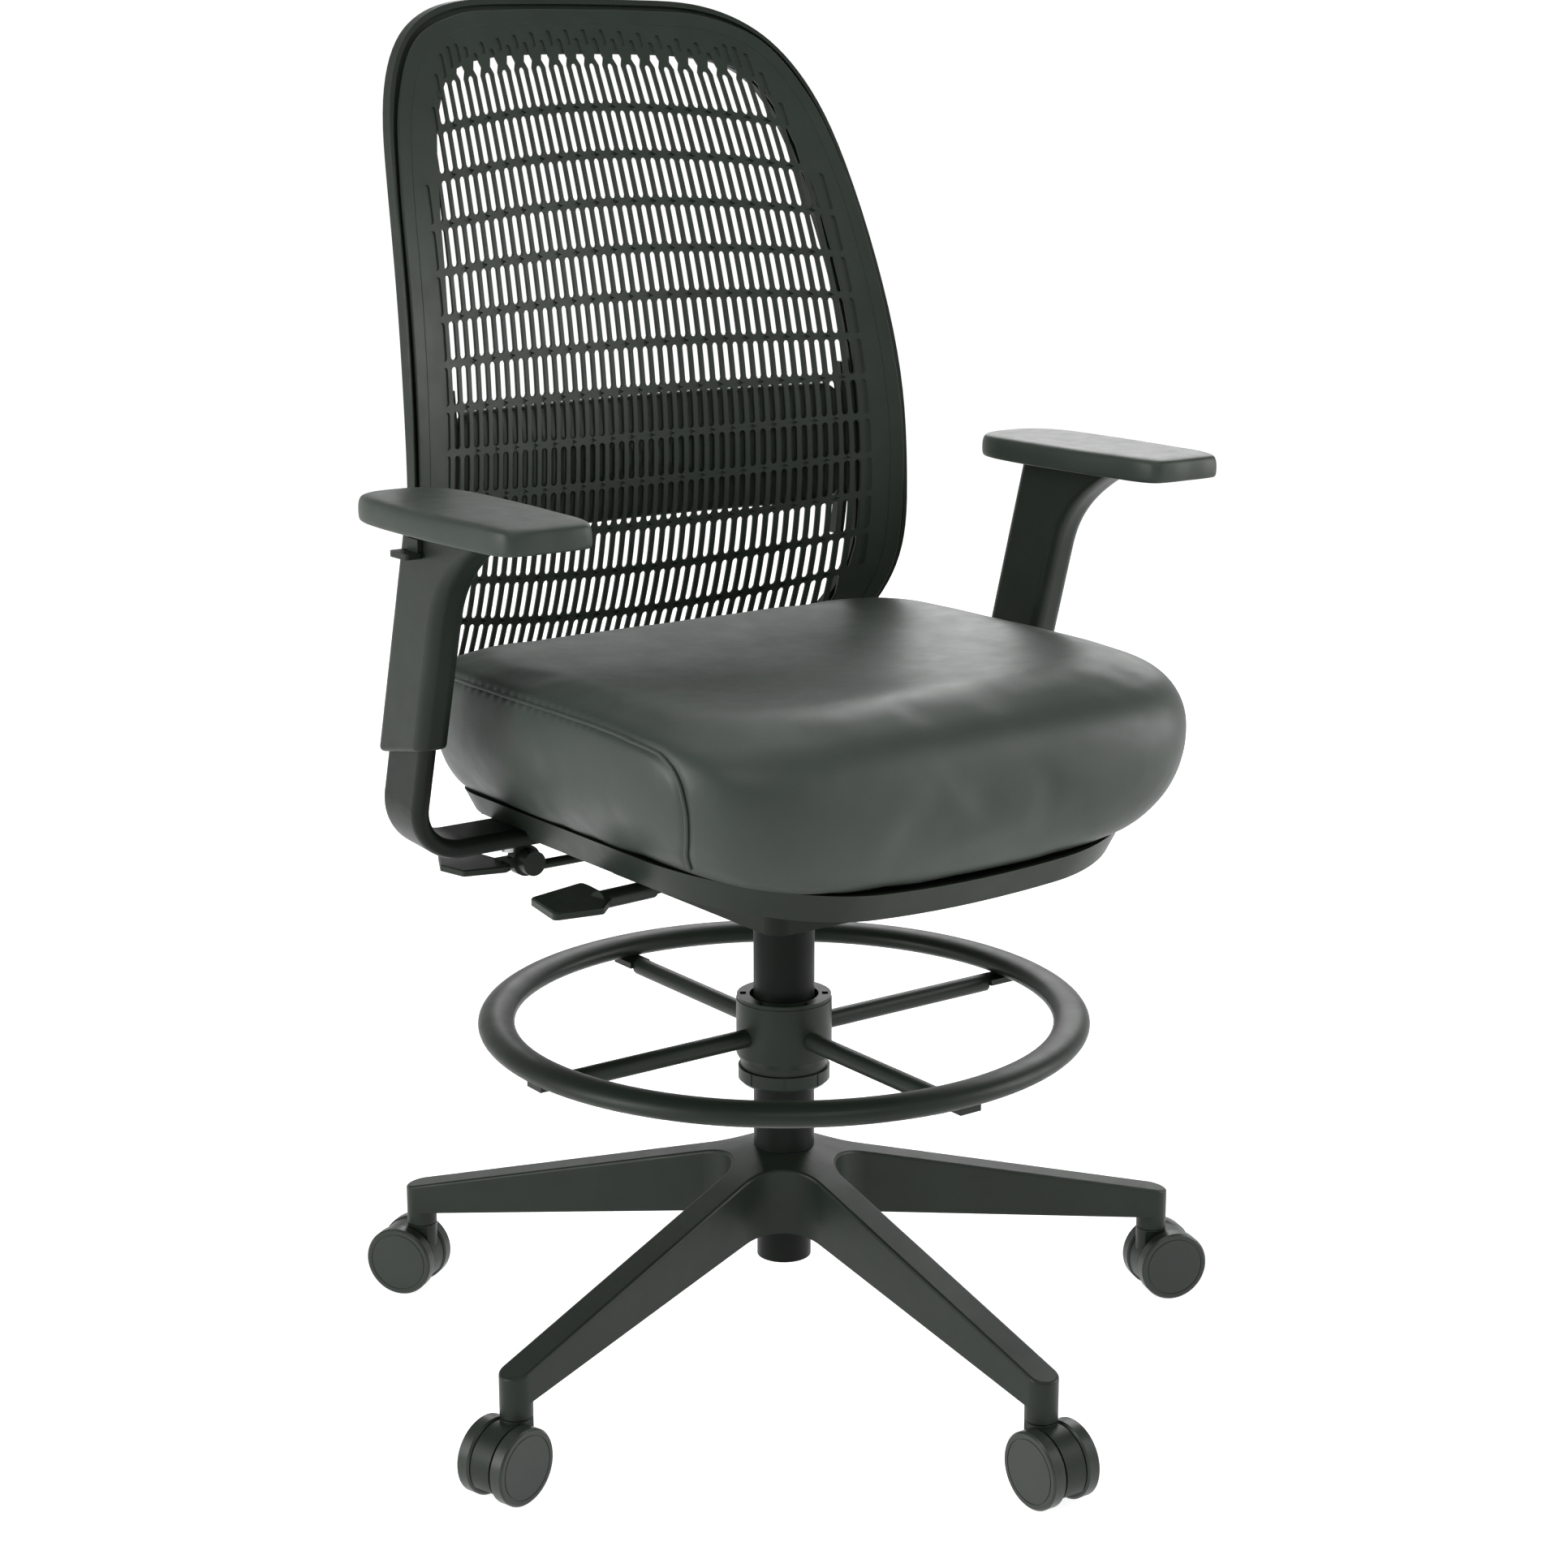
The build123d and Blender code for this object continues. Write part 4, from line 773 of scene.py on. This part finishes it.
PAD_OUTLINE = [
    (0, -142), (20, -142), (33, -139), (38.5, -128), (41.5, -95), (45, -50), (45.5, -10), (44, 30), (40, 60),
    (32, 79), (18, 90), (0, 92.5),
]
PAD_LEVELS = [
    # inset from the outline, height
    (3.2, 716.8), (1.2, 717.4), (0.2, 719.5), (0.0, 724), (0.2, 729), (1.4, 732.6), (3.6, 735.2),
    (7.0, 736.6), (13.0, 737.3), (22.0, 737.6), (32.0, 737.4),
]


def make_arm_pad(side, name):
    """Soft pad: crisp lower edge, rolled upper edge and a slightly dished top."""
    loop = [(x, y) for x, y in PAD_OUTLINE] + [(-x, y) for x, y in PAD_OUTLINE[-2:0:-1]]
    outline = smooth_curve(loop, 5, closed=True)
    middle = np.array([0.0, -25.0])
    rings = []
    for depth, height in PAD_LEVELS:
        ring = []
        for point in outline:
            away = point - middle
            reach = np.linalg.norm(away * np.array([1.0, 0.45]))
            share = 1 - depth / np.linalg.norm(away)
            if depth > 4:
                share = max(0.02, 1 - depth / max(reach, depth + 0.5))
            placed = middle + away * share
            dish = -1.2 * math.exp(-(placed[1] + 20) ** 2 / 5000) if depth > 10 else 0.0
            ring.append(Vector((side * ARM_X + placed[0], placed[1], height + dish)))
        rings.append(ring)
    pad = rings_to_mesh(f"arm_pad_cover_{name}", rings)
    finer = pad.modifiers.new("finer", "SUBSURF")
    finer.levels = 2
    apply_modifiers(pad)
    pad.data.shade_smooth()
    dress(pad, "pad")
    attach(pad, f"arm_{name}")
    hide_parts(f"arm_pad_{name}")


LUMBAR_LEVELS = [
    # inset from the outline, depth behind the face of the back
    (6, 7.4), (1.5, 8.6), (0.3, 11), (0, 14), (0.3, 17), (1.5, 19.4), (6, 20.6), (14, 20.8),
]


def rounded_rectangle(wide, tall, radius, corner=8, runs=(26, 10)):
    """Points round a rectangle with round corners, given its half sizes."""
    points = []
    for quarter in range(4):
        side_x = 1 if quarter in (0, 3) else -1
        side_z = 1 if quarter < 2 else -1
        centre = Vector((side_x * (wide - radius), side_z * (tall - radius)))
        arc = []
        for k in range(corner + 1):
            angle = math.pi / 2 * (quarter + k / corner)
            arc.append(centre + Vector((math.cos(angle), math.sin(angle))) * radius)
        if points:
            before = points[-1].copy()
            count = runs[(quarter + 1) % 2]
            points += [before.lerp(arc[0], k / count) for k in range(1, count)]
        points += arc
    count = runs[1]
    last, first = points[-1].copy(), points[0].copy()
    return points + [last.lerp(first, k / count) for k in range(1, count)]


def make_lumbar_pad():
    """Lumbar support: a thin cushion bent to the back, with rounded edges."""
    low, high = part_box("lumbar_pad")
    half = (high[0] - low[0]) / 2 / MM
    z0, z1 = low[2] / MM, high[2] / MM
    middle = (z0 + z1) / 2
    rings = []
    for inset_mm, depth in LUMBAR_LEVELS:
        ring = []
        wide = half - inset_mm
        tall = (z1 - z0) / 2 - inset_mm
        for x, z in rounded_rectangle(wide, tall, 17 - inset_mm * 0.6):
            ring.append(Vector((x, back_y(x, middle + z) + depth, middle + z)))
        rings.append(ring)
    front_middle = [Vector((p.x * 0.5, 0, middle + (p.z - middle) * 0.5)) for p in rings[0]]
    rear_middle = [p.copy() for p in front_middle]
    for near, far in zip(front_middle, rear_middle):
        near.y = back_y(near.x, near.z) + 7.2
        far.y = back_y(far.x, far.z) + 20.8
    pad = rings_to_mesh("lumbar_pad_cover", [front_middle] + rings + [rear_middle])
    finer = pad.modifiers.new("finer", "SUBSURF")
    finer.levels = 1
    apply_modifiers(pad)
    pad.data.shade_smooth()
    dress(pad, "pad")
    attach(pad, "lumbar")
    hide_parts("lumbar_pad")


# ---- Stage -------------------------------------------------------------------

def make_stage():
    """Pale floor and a world that is bright near the horizon and dimmer overhead."""
    corners = [(x * FLOOR_HALF, y * FLOOR_HALF, 0) for x, y in ((-1, -1), (1, -1), (1, 1), (-1, 1))]
    floor = mesh_object("floor", corners, [(0, 1, 2, 3)])
    material, tree, shader, coords = new_material("pale_floor")
    tint(tree, shader, noise(tree, coords, 3, 2), (0.50, 0.50, 0.50), (0.52, 0.52, 0.52))
    shader.inputs["Roughness"].default_value = 0.9
    shader.inputs["Specular IOR Level"].default_value = 0.0
    shader.inputs["Emission Color"].default_value = (1, 1, 1, 1)
    shader.inputs["Emission Strength"].default_value = 0.88
    floor.data.materials.append(material)

    world = bpy.data.worlds.new("studio")
    world.use_nodes = True
    tree = world.node_tree
    direction = tree.nodes.new("ShaderNodeTexCoord").outputs["Generated"]
    parts = tree.nodes.new("ShaderNodeSeparateXYZ")
    tree.links.new(direction, parts.inputs["Vector"])
    fade = tree.nodes.new("ShaderNodeMapRange")
    fade.inputs["From Min"].default_value = 0.05
    fade.inputs["From Max"].default_value = 0.7
    fade.inputs["To Min"].default_value = 1.02
    fade.inputs["To Max"].default_value = 0.2
    tree.links.new(parts.outputs["Z"], fade.inputs["Value"])
    tree.nodes["Background"].inputs["Color"].default_value = (1, 1, 1, 1)
    tree.links.new(fade.outputs["Result"], tree.nodes["Background"].inputs["Strength"])
    bpy.context.scene.world = world


def area_light(name, place, target, size, power):
    light = bpy.data.lights.new(name, "AREA")
    light.shape = "RECTANGLE"
    light.size, light.size_y = size
    light.energy = power
    lamp = bpy.data.objects.new(name, light)
    lamp.location = place
    lamp.rotation_euler = (Vector(target) - Vector(place)).to_track_quat("-Z", "Y").to_euler()
    bpy.context.scene.collection.objects.link(lamp)


def make_lights():
    for name, place, target, size, power in LIGHTS:
        area_light(name, place, target, size, power)


def make_camera():
    """Camera that looks down at the chair from its front right."""
    camera = bpy.data.cameras.new("camera")
    camera.lens = 67.25
    camera.sensor_width = 36
    camera.clip_end = 100
    eye = bpy.data.objects.new("camera", camera)
    across = CAMERA_DISTANCE * math.sin(CAMERA_AZIMUTH)
    along = -CAMERA_DISTANCE * math.cos(CAMERA_AZIMUTH)
    eye.location = (across, along, CAMERA_HEIGHT)
    eye.rotation_euler = (math.pi / 2 - CAMERA_PITCH, 0, CAMERA_AZIMUTH)
    bpy.context.scene.collection.objects.link(eye)
    bpy.context.scene.camera = eye


# ---- Assembly ----------------------------------------------------------------

make_camera()
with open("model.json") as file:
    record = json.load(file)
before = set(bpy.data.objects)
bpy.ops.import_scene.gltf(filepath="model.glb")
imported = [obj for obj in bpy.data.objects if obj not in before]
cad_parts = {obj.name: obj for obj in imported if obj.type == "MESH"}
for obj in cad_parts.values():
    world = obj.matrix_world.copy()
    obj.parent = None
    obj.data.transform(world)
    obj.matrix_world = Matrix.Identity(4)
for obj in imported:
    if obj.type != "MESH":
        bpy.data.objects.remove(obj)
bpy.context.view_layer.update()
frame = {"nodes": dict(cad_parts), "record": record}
bpy.context.scene.view_settings.view_transform = "Standard"
make_stage()
make_lights()
dress_frame(frame)
make_back_skin()
make_lumbar_pad()
make_cushion()
make_arm_pad(-1, "right")
make_arm_pad(1, "left")
